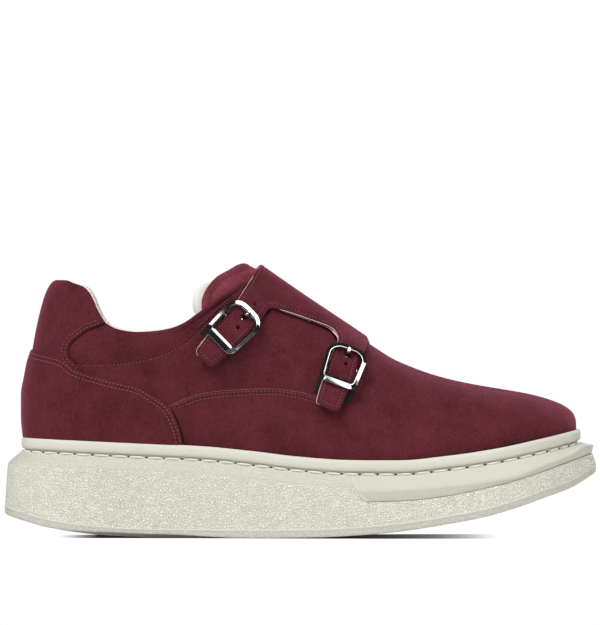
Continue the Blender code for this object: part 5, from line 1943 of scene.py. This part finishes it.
# %% Elastics
ELASTIC = 0.7
ELASTIC_WIDTH = 19.6
ELASTIC_TOP = -1.4
NOTCH = PRONG_WIDTH / 2 + 2 * GAP
NOTCH_END = 3.0


def ribs(tree):
    wave = {"Vector": object_place(tree), "Scale": 500.0, "Distortion": 1.5, "Detail": 1.0}
    return [add_node(tree, "TexWave", wave).outputs["Fac"]] * 2


def elastic_corners(length):
    half = ELASTIC_WIDTH / 2
    return ((ELASTIC_TOP, -half), (ELASTIC_TOP, -NOTCH), (NOTCH_END, -NOTCH), (NOTCH_END, NOTCH),
            (ELASTIC_TOP, NOTCH), (ELASTIC_TOP, half), (length, half), (length, -half))


elastic_web = two_toned("elastic_web", 0.8, ribs, (0.008, 0.008, 0.008), (0.035, 0.035, 0.034), (0.2, 0.9),
                        0.25, 0.7, {"Specular IOR Level": 0.15})
for buckle in BUCKLES:
    along, across = even_steps(elastic_corners(buckle["elastic"]), 0.8).T
    sheet(f"elastic_of_the_{buckle['name']}_buckle", unroll(*side_spot(buckle, along, across), -1, GAP),
          over_place, lambda u, v, d: GAP + ELASTIC * rounded(d, 0.3, 0.6), lambda u, v, d: GAP + 0 * d,
          1.2, (0.3, 0.8), [elastic_web] * 3, "elastic", [f"elastic_tab_{buckle['name']}"])

# %% [markdown]
# ## Footbed
# The footbed is foam under thin leather.  It rises towards the heel, where the shoe hides its lift,
# and is hollowed a little for the heel bone and filled under the arch.  Its rim is a ring of lines
# rounded over, and two sheets of rungs close it.

# %% Footbed
UNDER_BED = -1.5
LIFT = 7.5


def bed(x):
    return feather(x) + UNDER_BED + LIFT * blend_in(20 - x, 0, 100)


def hollow(x, y):
    heel = 1.6 * dent(np.hypot((x + 105) * 0.8, y), 22)
    arch = 1.2 * blend_in(x, -75, -35) * (1 - blend_in(x, -10, 25)) * blend_in(y, 6, 24)
    return arch - heel


BED_PROFILE = (
    # beyond the feather line, reference line, height over it
    (-4.0, feather, UNDER_BED), (-3.0, feather, UNDER_BED), (-2.9, bed, -1.0), (-3.0, bed, -0.3),
    (-3.6, bed, 0.1), (-4.8, bed, 0.2),
)
station, side = whole_round(2.0)
rim = np.stack([edge_line(station, side, out, raised(base, rise)) for out, base, rise in BED_PROFILE], 1)
footbed = make_piece("footbed", *join_parts(
    (rim, grid_faces(*rim.shape[:2], around=True)), across_sheet(rim[:, -1], 24, hollow),
    across_sheet(rim[:, 0], 24)), [cream_lining], "lining", ["insole"], crease=60)

# %% [markdown]
# ## Toe lining
# The inside of the toe is lined with the same cream leather, a skin a little inside the last.

# %% Toe lining
LINING_DEPTH = 2.2
LINING_ROWS = 24
toe_walk = np.concatenate([np.arange(8.0, TOE_START, 2.0), np.linspace(TOE_START, TIP_STATION, 40)])


def lining_half(hand):
    x0 = on_last(toe_walk, 50.0, hand, 0.0)[:, 0]
    climb = np.sin(pi / 2 * np.arange(LINING_ROWS + 1) / LINING_ROWS)
    z = feather(x0)[:, None] + (ridge_height(x0, 0.0) - feather(x0))[:, None] * climb
    return on_last(toe_walk[:, None], z, hand, -LINING_DEPTH)


make_piece("toe_lining", *both_halves(lining_half), [cream_lining], "lining", closed=False, crease=80)
